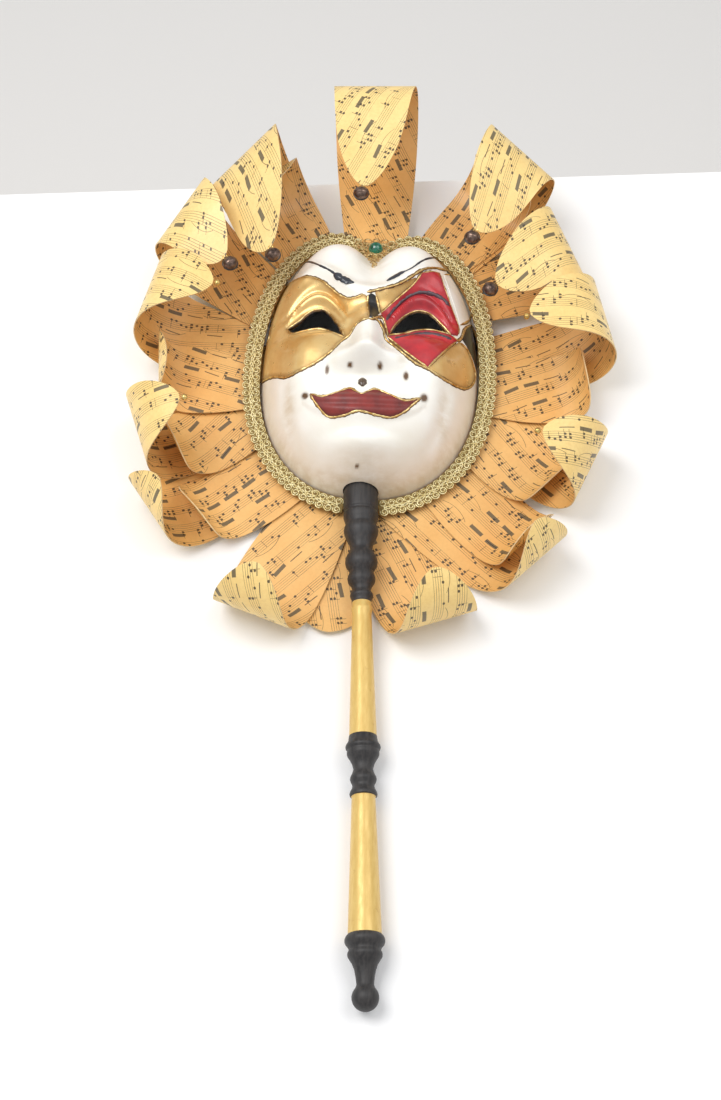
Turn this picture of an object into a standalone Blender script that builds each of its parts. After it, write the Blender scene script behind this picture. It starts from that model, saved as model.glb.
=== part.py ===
"""Carnival mask on a turned handle, lying on its back, with a collar of printed card strips.

Units are metres. The face looks up (+Z), its forehead points to +Y and the handle to -Y.
"""
import math

import bmesh
import bpy
from mathutils import Matrix, Vector

# Mask shell
FACE_HALF_WIDTH = 0.084
FOREHEAD_LENGTH = 0.127
CHIN_LENGTH = 0.105
OUTLINE_POWER = 2.2
BROW_POWER = 2.5
BROW_DIP = 0.135
BROW_DIP_SPREAD = math.radians(10.0)
FACE_DEPTH = 0.070
DOME_POWER = 3.0
CHIN_DOME_POWER = 6.0
FACE_AXIS = -0.002
SHELL_WALL = 0.003
SHELL_SPOKES = 52
SHELL_RINGS = 15
BELOW_TABLE = 0.020

# Eye openings
EYE_INNER = 0.0165
EYE_OUTER = 0.0625
EYE_LOW_INNER = 0.0145
EYE_LOW_OUTER = 0.0195
EYE_RISE = 0.0215
EYE_SAG = 0.003
EYE_CUT_FROM = 0.3

# Card strips of the collar
CARD_THICKNESS = 0.0008
LAYER_GAP = 0.0004
LOWEST_LAYER = 0.0022
WALL_GAP = 0.0016
LOOP_ROOT_WIDTH = 0.048
LOOP_WIDTH = 0.068
LOOP_TIP_WIDTH = 0.034
CURL_ROOT_WIDTH = 0.044
CURL_WIDTH = 0.060
CURL_TIP_WIDTH = 0.054
STRIP_STEPS = 12
ROOT_MARGIN = 0.006
LOOP_WIDTHS = (LOOP_ROOT_WIDTH, LOOP_WIDTH, LOOP_TIP_WIDTH)
CURL_WIDTHS = (CURL_ROOT_WIDTH, CURL_WIDTH, CURL_TIP_WIDTH)
FALL_TO_TABLE = 0.0006

# Gimp braid round the face
BRAID_WIDTH = 0.0140
BRAID_THICKNESS = 0.0034
BRAID_FACE_GAP = 0.0004
BRAID_REST_GAP = 0.0006
BRAID_SPOKES = 40
BRAID_END_GAP = 0.0005

# Brow ornament and cabochon
CABOCHON_RADIUS = 0.0058
CABOCHON_RISE = 0.0042
ORNAMENT_HALF_WIDTH = 0.0160
ORNAMENT_THICKNESS = 0.0012
ORNAMENT_TILT = math.radians(20.0)
ORNAMENT_SHIFT = 0.0035
ORNAMENT_REST_GAP = 0.0012
ORNAMENT_LOBES = 12
ORNAMENT_STEPS = 36

# Bells and beads at the strip tips
BELL_RADIUS = 0.0055
BEAD_RADIUS = 0.0024
TOUCH_GAP = 0.0003

# Turned handle
HANDLE_LENGTH = 0.391
HANDLE_SOCKET_HEIGHT = 0.0178
HANDLE_DEPTH_IN_CHIN = 0.010
HANDLE_YAW = math.radians(3.1)
HANDLE_SIDES = 16
SOCKET_RADIUS = 0.0130
SOCKET_CLEARANCE = 0.0004
SOCKET_CUTTER_LENGTH = 0.040
MIDDLE_RINGS_AT = 0.523
WIDE_RING_RADIUS = 0.0138
WIDE_RING_BEFORE_BALL = 0.0387
BALL_RADIUS = 0.0093
BALL_STEPS = 7
TABLE_FLAT = 0.0003

# Turned rings as distance and radius: below the socket's end, round the middle, and above the ball
SOCKET_RINGS = [
    (0.0240, 0.0130),
    (0.0252, 0.0122),
    (0.0266, 0.0130),
    (0.0299, 0.0130),
    (0.0350, 0.0114),
    (0.0385, 0.0125),
    (0.0420, 0.0128),
    (0.0480, 0.0108),
    (0.0558, 0.0082),
    (0.0620, 0.0106),
    (0.0673, 0.0120),
    (0.0715, 0.0110),
    (0.0747, 0.0088),
    (0.0804, 0.0104),
    (0.0894, 0.0067),
    (0.0943, 0.0086),
    (0.0999, 0.0070),
    (0.1055, 0.0075),
    (0.1128, 0.0072),
]
MIDDLE_RINGS = [
    (0.0000, 0.0098),
    (0.0055, 0.0106),
    (0.0083, 0.0125),
    (0.0109, 0.0113),
    (0.0136, 0.0115),
    (0.0190, 0.0088),
    (0.0248, 0.0069),
    (0.0322, 0.0094),
    (0.0374, 0.0077),
    (0.0433, 0.0098),
    (0.0470, 0.0085),
]
BALL_RINGS = [
    (0.0429, 0.0116),
    (WIDE_RING_BEFORE_BALL, WIDE_RING_RADIUS),
    (0.0325, 0.0110),
    (0.0291, 0.0120),
    (0.0230, 0.0088),
    (0.0148, 0.0066),
    (0.0085, 0.0060),
]


def clear_scene():
    for item in list(bpy.data.objects):
        bpy.data.objects.remove(item, do_unlink=True)


def make_collection(name):
    group = bpy.data.collections.new(name)
    bpy.context.scene.collection.children.link(group)
    return group


def make_material(name, color, roughness, metallic=0.0):
    material = bpy.data.materials.new(name)
    material.use_nodes = True
    shader = material.node_tree.nodes["Principled BSDF"]
    shader.inputs["Base Color"].default_value = (*color, 1.0)
    shader.inputs["Roughness"].default_value = roughness
    shader.inputs["Metallic"].default_value = metallic
    material.diffuse_color = (*color, 1.0)
    return material


def add_object(name, mesh, material, group, parent):
    item = bpy.data.objects.new(name, mesh)
    mesh.materials.append(material)
    group.objects.link(item)
    item.parent = parent
    return item


def mesh_from(name, points, faces, smooth_angle=math.radians(40)):
    mesh = bpy.data.meshes.new(name)
    mesh.from_pydata(points, [], faces)
    work = bmesh.new()
    work.from_mesh(mesh)
    bmesh.ops.recalc_face_normals(work, faces=work.faces)
    work.to_mesh(mesh)
    work.free()
    mesh.shade_smooth()
    mesh.set_sharp_from_angle(angle=smooth_angle)
    return mesh


def loft(rings, closed_round=True, caps=False, joined=False):
    """Faces of a net of rings, each a list of as many points."""
    count = len(rings[0])
    points = [tuple(point) for ring in rings for point in ring]
    faces = []
    across = count if closed_round else count - 1
    along = len(rings) if joined else len(rings) - 1
    for i in range(along):
        for j in range(across):
            a = i * count + j
            b = i * count + (j + 1) % count
            c = ((i + 1) % len(rings)) * count + (j + 1) % count
            d = ((i + 1) % len(rings)) * count + j
            faces.append((a, b, c, d))
    if caps:
        faces.append(tuple(range(count)))
        faces.append(tuple(range((len(rings) - 1) * count, len(rings) * count)))
    return points, faces


def smooth_step(value):
    value = min(max(value, 0.0), 1.0)
    return value * value * (3.0 - 2.0 * value)


# Face outline and relief


def outline_radius(angle, margin=0.0):
    """Distance from the face's centre to its edge, in a direction seen from above."""
    across = math.cos(angle)
    along = math.sin(angle)
    half_length = (FOREHEAD_LENGTH if along > 0.0 else CHIN_LENGTH) + margin
    power = OUTLINE_POWER + (BROW_POWER - OUTLINE_POWER) * max(along, 0.0) ** 2
    side = abs(across / (FACE_HALF_WIDTH + margin)) ** power
    end = abs(along / half_length) ** power
    from_top = math.remainder(angle - math.pi / 2.0, 2.0 * math.pi)
    dip = BROW_DIP * math.exp(-((from_top / BROW_DIP_SPREAD) ** 2))
    return (side + end) ** (-1.0 / power) * (1.0 - dip)


def outline_point(angle, margin=0.0):
    reach = outline_radius(angle, margin)
    return Vector((reach * math.cos(angle), reach * math.sin(angle), 0.0))


def swell(x, y, center_x, center_y, reach_x, reach_y):
    """A soft round mound, 1 at its centre."""
    return math.exp(-((x - center_x) / reach_x) ** 2 - ((y - center_y) / reach_y) ** 2)


def dome_power(angle):
    """How square the shell's section is: rounder at the brow, steep below the chin."""
    return DOME_POWER + (CHIN_DOME_POWER - DOME_POWER) * max(-math.sin(angle), 0.0) ** 2


def nose_relief(x, y):
    bridge_y = 0.036
    tip_y = -0.022
    base_y = -0.036
    down = min(max((bridge_y - y) / (bridge_y - tip_y), 0.0), 1.0)
    if y > tip_y:
        rise = 0.006 * smooth_step(down * 2.5) + 0.019 * down ** 1.5
    else:
        rise = 0.025 * (1.0 - smooth_step((tip_y - y) / (tip_y - base_y)))
    half_width = 0.0075 + 0.0065 * down
    ridge = rise * math.exp(-abs(x / half_width) ** 2.4)
    ball = 0.004 * swell(x, y, 0.0, -0.020, 0.010, 0.010)
    wings = 0.010 * swell(abs(x), y, 0.020, -0.023, 0.0105, 0.0100)
    return ridge + ball + wings


def eye_relief(x, y):
    side = abs(x)
    socket = -0.010 * swell(side, y, 0.036, 0.028, 0.026, 0.019)
    bag = 0.0075 * swell(side, y, 0.043, -0.006, 0.023, 0.0145)
    return socket + bag


def brow_relief(x, y):
    """The brows' ridges, the forehead's two bulges and the frown between them."""
    side = abs(x)
    climb = 0.024 * smooth_step((side - 0.008) / 0.036)
    climb -= 0.010 * smooth_step((side - 0.045) / 0.020)
    line = 0.046 + climb
    ridge = 0.0065 * math.exp(-((y - line) / 0.0085) ** 2 - (side / 0.064) ** 6)
    bulge = 0.0075 * swell(side, y, 0.037, 0.096, 0.025, 0.018)
    frown = -0.0075 * swell(x, y, 0.0, 0.086, 0.010, 0.032)
    return ridge + bulge + frown


def mouth_middle(x):
    return -0.0623 + 0.0065 * (x / 0.041) ** 2


def mouth_relief(x, y):
    muzzle = 0.007 * swell(x, y, 0.0, -0.058, 0.034, 0.026)
    half = 0.0018 + 0.0075 * max(1.0 - (x / 0.043) ** 2, 0.0) ** 0.6
    taper = max(1.0 - (x / 0.046) ** 2, 0.0) ** 0.5
    lips = 0.0048 * math.exp(-((y - mouth_middle(x)) / half) ** 4) * taper
    return muzzle + lips


def cheek_and_chin_relief(x, y):
    cheeks = 0.008 * swell(abs(x), y, 0.050, -0.030, 0.022, 0.022)
    crease = -0.003 * swell(abs(x), y, 0.058, -0.058, 0.008, 0.020)
    chin = 0.011 * swell(x, y, 0.0, -0.090, 0.022, 0.014)
    fold = -0.0035 * swell(x, y, 0.0, -0.0785, 0.022, 0.005)
    return cheeks + crease + chin + fold


def face_height(x, y):
    """Height of the face's outer surface above the table."""
    reach = math.hypot(x, y)
    angle = math.atan2(y, x)
    share = min(reach / outline_radius(angle), 1.0)
    dome = FACE_DEPTH * max(1.0 - share ** dome_power(angle), 0.0) ** 0.5
    fade = smooth_step((1.0 - share) / 0.16)
    middle = x - FACE_AXIS
    relief = nose_relief(middle, y) + eye_relief(middle, y) + brow_relief(middle, y)
    relief += mouth_relief(middle, y) + cheek_and_chin_relief(middle, y)
    return dome + fade * relief


def ring_share(step):
    """Share of the outline's radius at each ring, closer together near the steep edge."""
    run = step / SHELL_RINGS
    return math.sin(run * math.pi / 2.0) ** 0.86


def eye_outline(side, steps=9):
    """Almond outline of one eye opening, as two arcs between its corners."""
    inner = Vector((EYE_INNER, EYE_LOW_INNER))
    outer = Vector((EYE_OUTER, EYE_LOW_OUTER))
    points = []
    for i in range(steps + 1):
        arch = math.sin(math.pi * i / steps) ** 0.8
        base = inner.lerp(outer, i / steps)
        points.append((FACE_AXIS + base.x * side, base.y + EYE_RISE * arch))
    for i in range(1, steps):
        arch = math.sin(math.pi * i / steps)
        base = outer.lerp(inner, i / steps)
        points.append((FACE_AXIS + base.x * side, base.y + EYE_SAG * arch))
    return points


def prism(name, outline, low, high, group):
    """A straight cutter over a flat outline."""
    rings = []
    for height in (low, high):
        rings.append([(x, y, height) for x, y in outline])
    points, faces = loft(rings, caps=True)
    item = bpy.data.objects.new(name, mesh_from(name, points, faces))
    group.objects.link(item)
    item.hide_render = True
    item.display_type = "WIRE"
    return item


def cut(item, cutter):
    cutter.parent = item.parent
    change = item.modifiers.new("cut_" + cutter.name, "BOOLEAN")
    change.operation = "DIFFERENCE"
    change.solver = "EXACT"
    change.object = cutter


def build_shell(materials, group, cutters, parent):
    centre = (0.0, 0.0, face_height(0.0, 0.0))
    rings = []
    for step in range(1, SHELL_RINGS + 1):
        share = ring_share(step)
        ring = []
        for spoke in range(SHELL_SPOKES):
            angle = 2.0 * math.pi * spoke / SHELL_SPOKES
            point = outline_point(angle) * share
            ring.append((point.x, point.y, face_height(point.x, point.y)))
        rings.append(ring)
    skirt = [(x, y, -SHELL_WALL) for x, y, _ in rings[-1]]
    rings.append(skirt)
    points, faces = loft(rings)
    top = len(points)
    points.append(centre)
    for spoke in range(SHELL_SPOKES):
        faces.append((top, spoke, (spoke + 1) % SHELL_SPOKES))
    mesh = mesh_from("mask_shell", points, faces)
    shell = add_object("mask_shell", mesh, materials["face"], group, parent)
    wall = shell.modifiers.new("wall", "SOLIDIFY")
    wall.thickness = SHELL_WALL
    wall.offset = -1.0
    for side in (-1, 1):
        name = "eye_cutter_left" if side < 0 else "eye_cutter_right"
        low = EYE_CUT_FROM * FACE_DEPTH
        cut(shell, prism(name, eye_outline(side), low, 2.0 * FACE_DEPTH, cutters))
    reach = 2.0 * FOREHEAD_LENGTH
    square = [(-reach, -reach), (reach, -reach), (reach, reach), (-reach, reach)]
    cut(shell, prism("table_cutter", square, -BELOW_TABLE, 0.0, cutters))
    cut(shell, build_socket_cutter(cutters))
    return shell


# Turned handle


def handle_profile():
    """Distance from the socket's end and radius, along the turned wood down to the ball's neck."""
    profile = [
        (0.0, 0.0),
        (0.0, SOCKET_RADIUS * 0.70),
        (0.004, SOCKET_RADIUS * 0.95),
        (HANDLE_DEPTH_IN_CHIN, SOCKET_RADIUS),
    ]
    profile += SOCKET_RINGS
    middle = MIDDLE_RINGS_AT * HANDLE_LENGTH
    profile += [(middle + reach, radius) for reach, radius in MIDDLE_RINGS]
    profile += [(HANDLE_LENGTH - reach, radius) for reach, radius in BALL_RINGS]
    return profile


def handle_matrix():
    """Axis from the chin down to the ball; the widest ring rests on the table."""
    run = HANDLE_LENGTH - WIDE_RING_BEFORE_BALL - HANDLE_DEPTH_IN_CHIN
    fall = HANDLE_SOCKET_HEIGHT - (WIDE_RING_RADIUS - TABLE_FLAT)
    slope = math.asin(fall / run)
    chin = Vector((FACE_AXIS, -CHIN_LENGTH, HANDLE_SOCKET_HEIGHT))
    turn = Matrix.Rotation(HANDLE_YAW, 4, "Z") @ Matrix.Rotation(math.pi / 2.0 + slope, 4, "X")
    start = chin - turn.to_3x3() @ Vector((0.0, 0.0, HANDLE_DEPTH_IN_CHIN))
    return Matrix.Translation(start) @ turn


def build_socket_cutter(cutters):
    work = bmesh.new()
    bmesh.ops.create_cone(
        work,
        cap_ends=True,
        segments=HANDLE_SIDES,
        radius1=SOCKET_RADIUS + SOCKET_CLEARANCE,
        radius2=SOCKET_RADIUS + SOCKET_CLEARANCE,
        depth=SOCKET_CUTTER_LENGTH,
    )
    middle = Vector((0.0, 0.0, SOCKET_CUTTER_LENGTH / 2.0 - SOCKET_CLEARANCE))
    bmesh.ops.translate(work, verts=work.verts, vec=middle)
    mesh = bpy.data.meshes.new("socket_cutter")
    work.to_mesh(mesh)
    work.free()
    item = bpy.data.objects.new("socket_cutter", mesh)
    cutters.objects.link(item)
    item.matrix_local = handle_matrix()
    item.hide_render = True
    item.display_type = "WIRE"
    return item


def build_handle(materials, group, cutters, parent):
    profile = handle_profile()
    first = math.asin(min(profile[-1][1] / BALL_RADIUS, 1.0))
    for i in range(1, BALL_STEPS + 1):
        angle = first + (math.pi - first) * i / BALL_STEPS
        profile.append((HANDLE_LENGTH - BALL_RADIUS * math.cos(angle), BALL_RADIUS * math.sin(angle)))
    work = bmesh.new()
    verts = [work.verts.new((max(radius, 0.0), 0.0, reach)) for reach, radius in profile]
    for a, b in zip(verts, verts[1:]):
        work.edges.new((a, b))
    mesh = bpy.data.meshes.new("handle")
    work.to_mesh(mesh)
    work.free()
    handle = add_object("handle", mesh, materials["handle"], group, parent)
    handle.matrix_local = handle_matrix()
    turned = handle.modifiers.new("turned", "SCREW")
    turned.steps = HANDLE_SIDES
    turned.render_steps = HANDLE_SIDES
    turned.use_merge_vertices = True
    turned.merge_threshold = 0.00001
    turned.use_smooth_shade = True
    turned.use_normal_flip = True
    reach = 2.0 * HANDLE_LENGTH
    square = [(-reach, -reach), (reach, -reach), (reach, reach), (-reach, reach)]
    cut(handle, prism("handle_table_cutter", square, -BELOW_TABLE, 0.0, cutters))
    return handle


# Card strips


def layer_height(layer):
    return LOWEST_LAYER + layer * (CARD_THICKNESS + LAYER_GAP)


# One strip: name, clock angle at its root, lean of its direction, skew of its length against the
# roll, flat run before the roll, roll radius, cone of the roll, turn, whole length, layer.
LOOPS = [
    ("loop_01_top", 90, 0, 2, 0.096, 0.036, -0.02, 190, 0.283, 13),
    ("loop_02", 65, -6, -6, 0.061, 0.035, 0.15, 190, 0.232, 9),
    ("loop_03", 47, -16, -8, 0.049, 0.030, 0.12, 190, 0.190, 8),
    ("loop_04", 12, 2, 0, 0.058, 0.035, 0.0, 190, 0.195, 6),
    ("loop_05", -21, -2, -8, 0.059, 0.036, 0.0, 190, 0.176, 4),
    ("loop_06", -69, 25, 10, 0.070, 0.037, 0.0, 190, 0.162, 2),
    ("loop_07", -85, 15, 5, 0.079, 0.034, 0.0, 190, 0.175, 1),
    ("loop_08", -96, 0, 0, 0.085, 0.036, 0.0, 14, 0.104, 0),
    ("loop_09", -106, -4, -3, 0.082, 0.035, 0.0, 190, 0.178, 2),
    ("loop_10", -134, -11, -1, 0.070, 0.035, 0.0, 190, 0.156, 3),
    ("loop_11", -160, 0, 4, 0.056, 0.036, 0.0, 190, 0.168, 5),
    ("loop_12", 169, -2, -5, 0.054, 0.035, 0.0, 190, 0.183, 8),
    ("loop_13", 140, -4, 6, 0.057, 0.034, -0.20, 190, 0.198, 9),
    ("loop_14", 116, 1, 9, 0.044, 0.036, -0.25, 190, 0.224, 10),
]
CURLS = [
    ("curl_01", 66, -8, -6, 0.046, 0.027, 0.15, 150, 0.129, 10),
    ("curl_02", -2, 12, -7, 0.050, 0.025, 0.0, 150, 0.095, 7),
    ("curl_03", -28, -14, 8, 0.046, 0.026, 0.0, 130, 0.080, 5),
    ("curl_04", -54, 12, 0, 0.055, 0.028, 0.0, 130, 0.108, 3),
    ("curl_05", -126, -14, -7, 0.050, 0.024, 0.0, 130, 0.088, 4),
    ("curl_06", -157, 6, 0, 0.040, 0.028, 0.0, 140, 0.088, 6),
    ("curl_07", 184, 1, -6, 0.050, 0.021, 0.0, 160, 0.101, 9),
    ("curl_08", 115, 0, 8, 0.036, 0.025, -0.2, 150, 0.116, 11),
]


def roll_place(run, low, base, radius, turn):
    """Outward distance and height along a strip that runs out flat and then rolls up."""
    if run <= base:
        settle = smooth_step(run / base) if base > 0.0 else 1.0
        return run, low - FALL_TO_TABLE * settle
    bend = min((run - base) / radius, math.radians(turn))
    beyond = run - base - bend * radius
    out = base + radius * math.sin(bend) + beyond * math.cos(bend)
    up = low - FALL_TO_TABLE + radius * (1.0 - math.cos(bend)) + beyond * math.sin(bend)
    return out, up


def strip_width(share, root, middle, tip):
    """Width along a strip: it widens to its middle and narrows to a rounded tip."""
    peak = 0.5
    round_from = 0.8
    if share < peak:
        width = root + (middle - root) * math.sin(math.pi / 2.0 * share / peak)
    else:
        width = middle + (tip - middle) * ((share - peak) / (1.0 - peak)) ** 1.8
    if share > round_from:
        width *= math.sqrt(max(1.0 - ((share - round_from) / (1.0 - round_from)) ** 2.4, 0.02))
    return width


def strip_point(row, across, run):
    """A place on a strip: run along its length, across its width."""
    _, clock, lean, skew, base, radius, cone, turn, _, layer = row
    root_angle = math.radians(clock)
    heading = math.radians(clock + lean)
    outward = Vector((math.cos(heading), math.sin(heading), 0.0))
    sideways = Vector((-math.sin(heading), math.cos(heading), 0.0))
    slant = math.radians(skew)
    along = run * math.cos(slant) - across * math.sin(slant)
    aside = run * math.sin(slant) + across * math.cos(slant)
    wide = radius * (1.0 + cone * across / (LOOP_WIDTH / 2.0))
    out, up = roll_place(along, layer_height(layer), base, wide, turn)
    place = outline_point(root_angle, ROOT_MARGIN) + outward * out + sideways * aside
    place.z = up
    return place


def root_run(row, across):
    """Where a strip starts, so that its end follows the mask's wall with a small gap."""
    run = 0.012
    step = 0.0005
    while run > -0.030:
        place = strip_point(row, across, run)
        wall = outline_radius(math.atan2(place.y, place.x), WALL_GAP)
        if math.hypot(place.x, place.y) < wall:
            return run + step
        run -= step
    return run


def strip_rows(row, widths):
    length = row[8]
    starts = {}
    for side in (-1, 0, 1):
        starts[side] = root_run(row, side * widths[0] / 2.0)
    rows = []
    for i in range(STRIP_STEPS + 1):
        share = i / STRIP_STEPS
        width = strip_width(share, *widths)
        points = []
        for side in (-1, 0, 1):
            run = starts[side] * (1.0 - share) + length * share
            points.append(strip_point(row, side * width / 2.0, run))
        rows.append(points)
    return rows


def build_strip(row, widths, material, group, parent):
    name = row[0]
    points, faces = loft(strip_rows(row, widths), closed_round=False)
    strip = add_object(name, mesh_from(name, points, faces), material, group, parent)
    card = strip.modifiers.new("card", "SOLIDIFY")
    card.thickness = CARD_THICKNESS
    card.offset = 0.0
    return strip


def strip_tip(row):
    """The farthest point of the tip and the direction the strip ends in."""
    length = row[8]
    end = strip_point(row, 0.0, length)
    heading = (end - strip_point(row, 0.0, length - 0.003)).normalized()
    last = [point for points in strip_rows(row, LOOP_WIDTHS)[-3:] for point in points]
    return max(last, key=lambda point: point.dot(heading)), heading


# Braid, ornament, bells and beads


def braid_height(angle):
    """The braid rides on the highest card layer under it."""
    lowest = layer_height(3) + CARD_THICKNESS
    highest = layer_height(13) + CARD_THICKNESS
    share = smooth_step(0.5 + 0.5 * math.sin(angle) + 0.28)
    return lowest + (highest - lowest) * share + BRAID_REST_GAP


def braid_ends():
    """Angles of the braid's two ends, on either side of the handle's socket."""
    reach = outline_radius(-math.pi / 2.0, BRAID_FACE_GAP + BRAID_WIDTH / 2.0)
    axis = handle_matrix() @ Vector((0.0, 0.0, HANDLE_DEPTH_IN_CHIN + BRAID_WIDTH / 2.0))
    middle = math.atan2(axis.y, axis.x)
    half = math.asin((SOCKET_RADIUS + BRAID_END_GAP) / reach)
    return middle + half, middle - half + 2.0 * math.pi


def build_braid(materials, group, parent):
    rings = []
    sides = 6
    first, last = braid_ends()
    for spoke in range(BRAID_SPOKES + 1):
        angle = first + (last - first) * spoke / BRAID_SPOKES
        middle = outline_point(angle, BRAID_FACE_GAP + BRAID_WIDTH / 2.0)
        outward = Vector((math.cos(angle), math.sin(angle), 0.0))
        ring = []
        for i in range(sides):
            turn = 2.0 * math.pi * i / sides
            point = middle + outward * (BRAID_WIDTH / 2.0 * math.cos(turn))
            point.z = braid_height(angle) + BRAID_THICKNESS / 2.0 * (1.0 + math.sin(turn))
            ring.append(point)
        rings.append(ring)
    points, faces = loft(rings, caps=True)
    mesh = mesh_from("gimp_braid", points, faces)
    return add_object("gimp_braid", mesh, materials["braid"], group, parent)


def build_cabochon(materials, group, parent):
    work = bmesh.new()
    bmesh.ops.create_uvsphere(work, u_segments=12, v_segments=6, radius=CABOCHON_RADIUS)
    bmesh.ops.scale(work, verts=work.verts, vec=(1.0, 1.0, CABOCHON_RISE / CABOCHON_RADIUS))
    mesh = bpy.data.meshes.new("cabochon")
    work.to_mesh(mesh)
    work.free()
    mesh.shade_smooth()
    stone = add_object("cabochon", mesh, materials["stone"], group, parent)
    lift = Vector((0.0, 0.0, ORNAMENT_THICKNESS + CABOCHON_RISE + TOUCH_GAP))
    stone.matrix_local = ornament_matrix() @ Matrix.Translation(lift)
    return stone


def ornament_matrix():
    """The plate lies on the braid and leans towards the brow."""
    top = math.pi / 2.0
    lean = math.sin(ORNAMENT_TILT) * (BRAID_WIDTH / 2.0 + BRAID_FACE_GAP)
    height = braid_height(top) + BRAID_THICKNESS + ORNAMENT_REST_GAP + lean
    place = Vector((0.0, outline_radius(top) + ORNAMENT_SHIFT, height))
    return Matrix.Translation(place) @ Matrix.Rotation(-ORNAMENT_TILT, 4, "X")


def build_ornament(materials, group, parent):
    """A flat cast plate of lobes round the stone, narrowing to a point in the brow's dip."""
    outline = []
    for i in range(ORNAMENT_STEPS):
        angle = 2.0 * math.pi * i / ORNAMENT_STEPS
        across = math.cos(angle)
        along = math.sin(angle)
        ripple = ORNAMENT_HALF_WIDTH * (1.0 + 0.09 * math.cos(ORNAMENT_LOBES * angle))
        narrowing = 1.0 + 0.62 * min(along, 0.0)
        outline.append((ripple * across * narrowing, 0.62 * ripple * along))
    rings = []
    for height in (0.0, ORNAMENT_THICKNESS):
        rings.append([(x, y, height) for x, y in outline])
    points, faces = loft(rings, caps=True)
    mesh = mesh_from("filigree", points, faces)
    plate = add_object("filigree_ornament", mesh, materials["bronze"], group, parent)
    plate.matrix_local = ornament_matrix()
    return plate


def build_bell(name, row, materials, group, parent):
    end, heading = strip_tip(row)
    reach = BELL_RADIUS + TOUCH_GAP + CARD_THICKNESS
    work = bmesh.new()
    bmesh.ops.create_uvsphere(work, u_segments=10, v_segments=6, radius=BELL_RADIUS)
    mesh = bpy.data.meshes.new(name)
    work.to_mesh(mesh)
    work.free()
    mesh.shade_smooth()
    bell = add_object(name, mesh, materials["bronze"], group, parent)
    bell.location = end + heading * reach
    return bell


def build_bead(name, row, materials, group, parent):
    end, heading = strip_tip(row)
    work = bmesh.new()
    bmesh.ops.create_uvsphere(work, u_segments=8, v_segments=6, radius=BEAD_RADIUS)
    mesh = bpy.data.meshes.new(name)
    work.to_mesh(mesh)
    work.free()
    mesh.shade_smooth()
    bead = add_object(name, mesh, materials["gilt"], group, parent)
    bead.location = end + heading * (BEAD_RADIUS + TOUCH_GAP + CARD_THICKNESS)
    return bead


def centre_on_table(group, root):
    """Move the whole model so that the middle of its box is over the origin."""
    bpy.context.view_layer.update()
    graph = bpy.context.evaluated_depsgraph_get()
    low = Vector((math.inf, math.inf))
    high = Vector((-math.inf, -math.inf))
    for item in group.objects:
        if item.type != "MESH":
            continue
        solid = item.evaluated_get(graph)
        mesh = solid.to_mesh()
        for vertex in mesh.vertices:
            place = solid.matrix_world @ vertex.co
            low = Vector((min(low.x, place.x), min(low.y, place.y)))
            high = Vector((max(high.x, place.x), max(high.y, place.y)))
        solid.to_mesh_clear()
    middle = (low + high) / 2.0
    root.location = (-middle.x, -middle.y, 0.0)


def main():
    clear_scene()
    group = make_collection("venetian_mask")
    cutters = make_collection("cutters")
    root = bpy.data.objects.new("mask_root", None)
    group.objects.link(root)
    materials = {
        "face": make_material("painted_face", (0.93, 0.90, 0.84), 0.25),
        "card": make_material("printed_card", (0.86, 0.60, 0.26), 0.55),
        "handle": make_material("painted_wood", (0.05, 0.05, 0.05), 0.5),
        "braid": make_material("gold_thread", (0.62, 0.50, 0.24), 0.45, 0.5),
        "bronze": make_material("bronze", (0.22, 0.15, 0.10), 0.4, 0.9),
        "gilt": make_material("gilt_bead", (0.80, 0.60, 0.28), 0.3, 0.9),
        "stone": make_material("green_stone", (0.01, 0.20, 0.13), 0.1),
    }
    build_shell(materials, group, cutters, root)
    build_handle(materials, group, cutters, root)
    for row in LOOPS:
        build_strip(row, LOOP_WIDTHS, materials["card"], group, root)
    for row in CURLS:
        build_strip(row, CURL_WIDTHS, materials["card"], group, root)
    build_braid(materials, group, root)
    build_ornament(materials, group, root)
    build_cabochon(materials, group, root)
    by_name = {row[0]: row for row in LOOPS}
    for number, name in enumerate(("loop_01_top", "loop_02", "loop_03", "loop_13", "loop_14"), 1):
        build_bell(f"bell_{number}", by_name[name], materials, group, root)
    for number, name in enumerate(("loop_04", "loop_05", "loop_11", "loop_12"), 1):
        build_bead(f"tip_bead_{number}", by_name[name], materials, group, root)
    centre_on_table(group, root)


main()
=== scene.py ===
"""Looks of a carnival mask that lies face up on its turned handle.

The painted face, the collar of music-printed card, the gimp braid, the brow ornament, the bells
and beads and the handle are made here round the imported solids. Lengths are metres.
"""
import math

import bmesh
import bpy
import numpy as np
from mathutils import Matrix, Vector
from mathutils.geometry import delaunay_2d_cdt


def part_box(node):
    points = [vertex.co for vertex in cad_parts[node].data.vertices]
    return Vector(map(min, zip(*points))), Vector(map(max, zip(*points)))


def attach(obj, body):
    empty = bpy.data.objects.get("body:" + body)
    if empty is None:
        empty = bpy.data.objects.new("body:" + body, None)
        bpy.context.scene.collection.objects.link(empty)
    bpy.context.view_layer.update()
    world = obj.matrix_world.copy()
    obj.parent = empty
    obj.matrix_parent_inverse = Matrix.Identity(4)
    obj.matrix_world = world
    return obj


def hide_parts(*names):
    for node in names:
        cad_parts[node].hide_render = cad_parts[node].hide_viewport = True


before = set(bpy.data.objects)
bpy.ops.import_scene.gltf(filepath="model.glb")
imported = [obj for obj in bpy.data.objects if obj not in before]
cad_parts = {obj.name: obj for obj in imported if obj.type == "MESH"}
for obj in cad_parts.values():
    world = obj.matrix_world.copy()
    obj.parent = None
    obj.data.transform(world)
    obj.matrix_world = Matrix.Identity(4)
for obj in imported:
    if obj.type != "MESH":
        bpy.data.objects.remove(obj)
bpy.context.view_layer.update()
scene = bpy.context.scene

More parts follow.
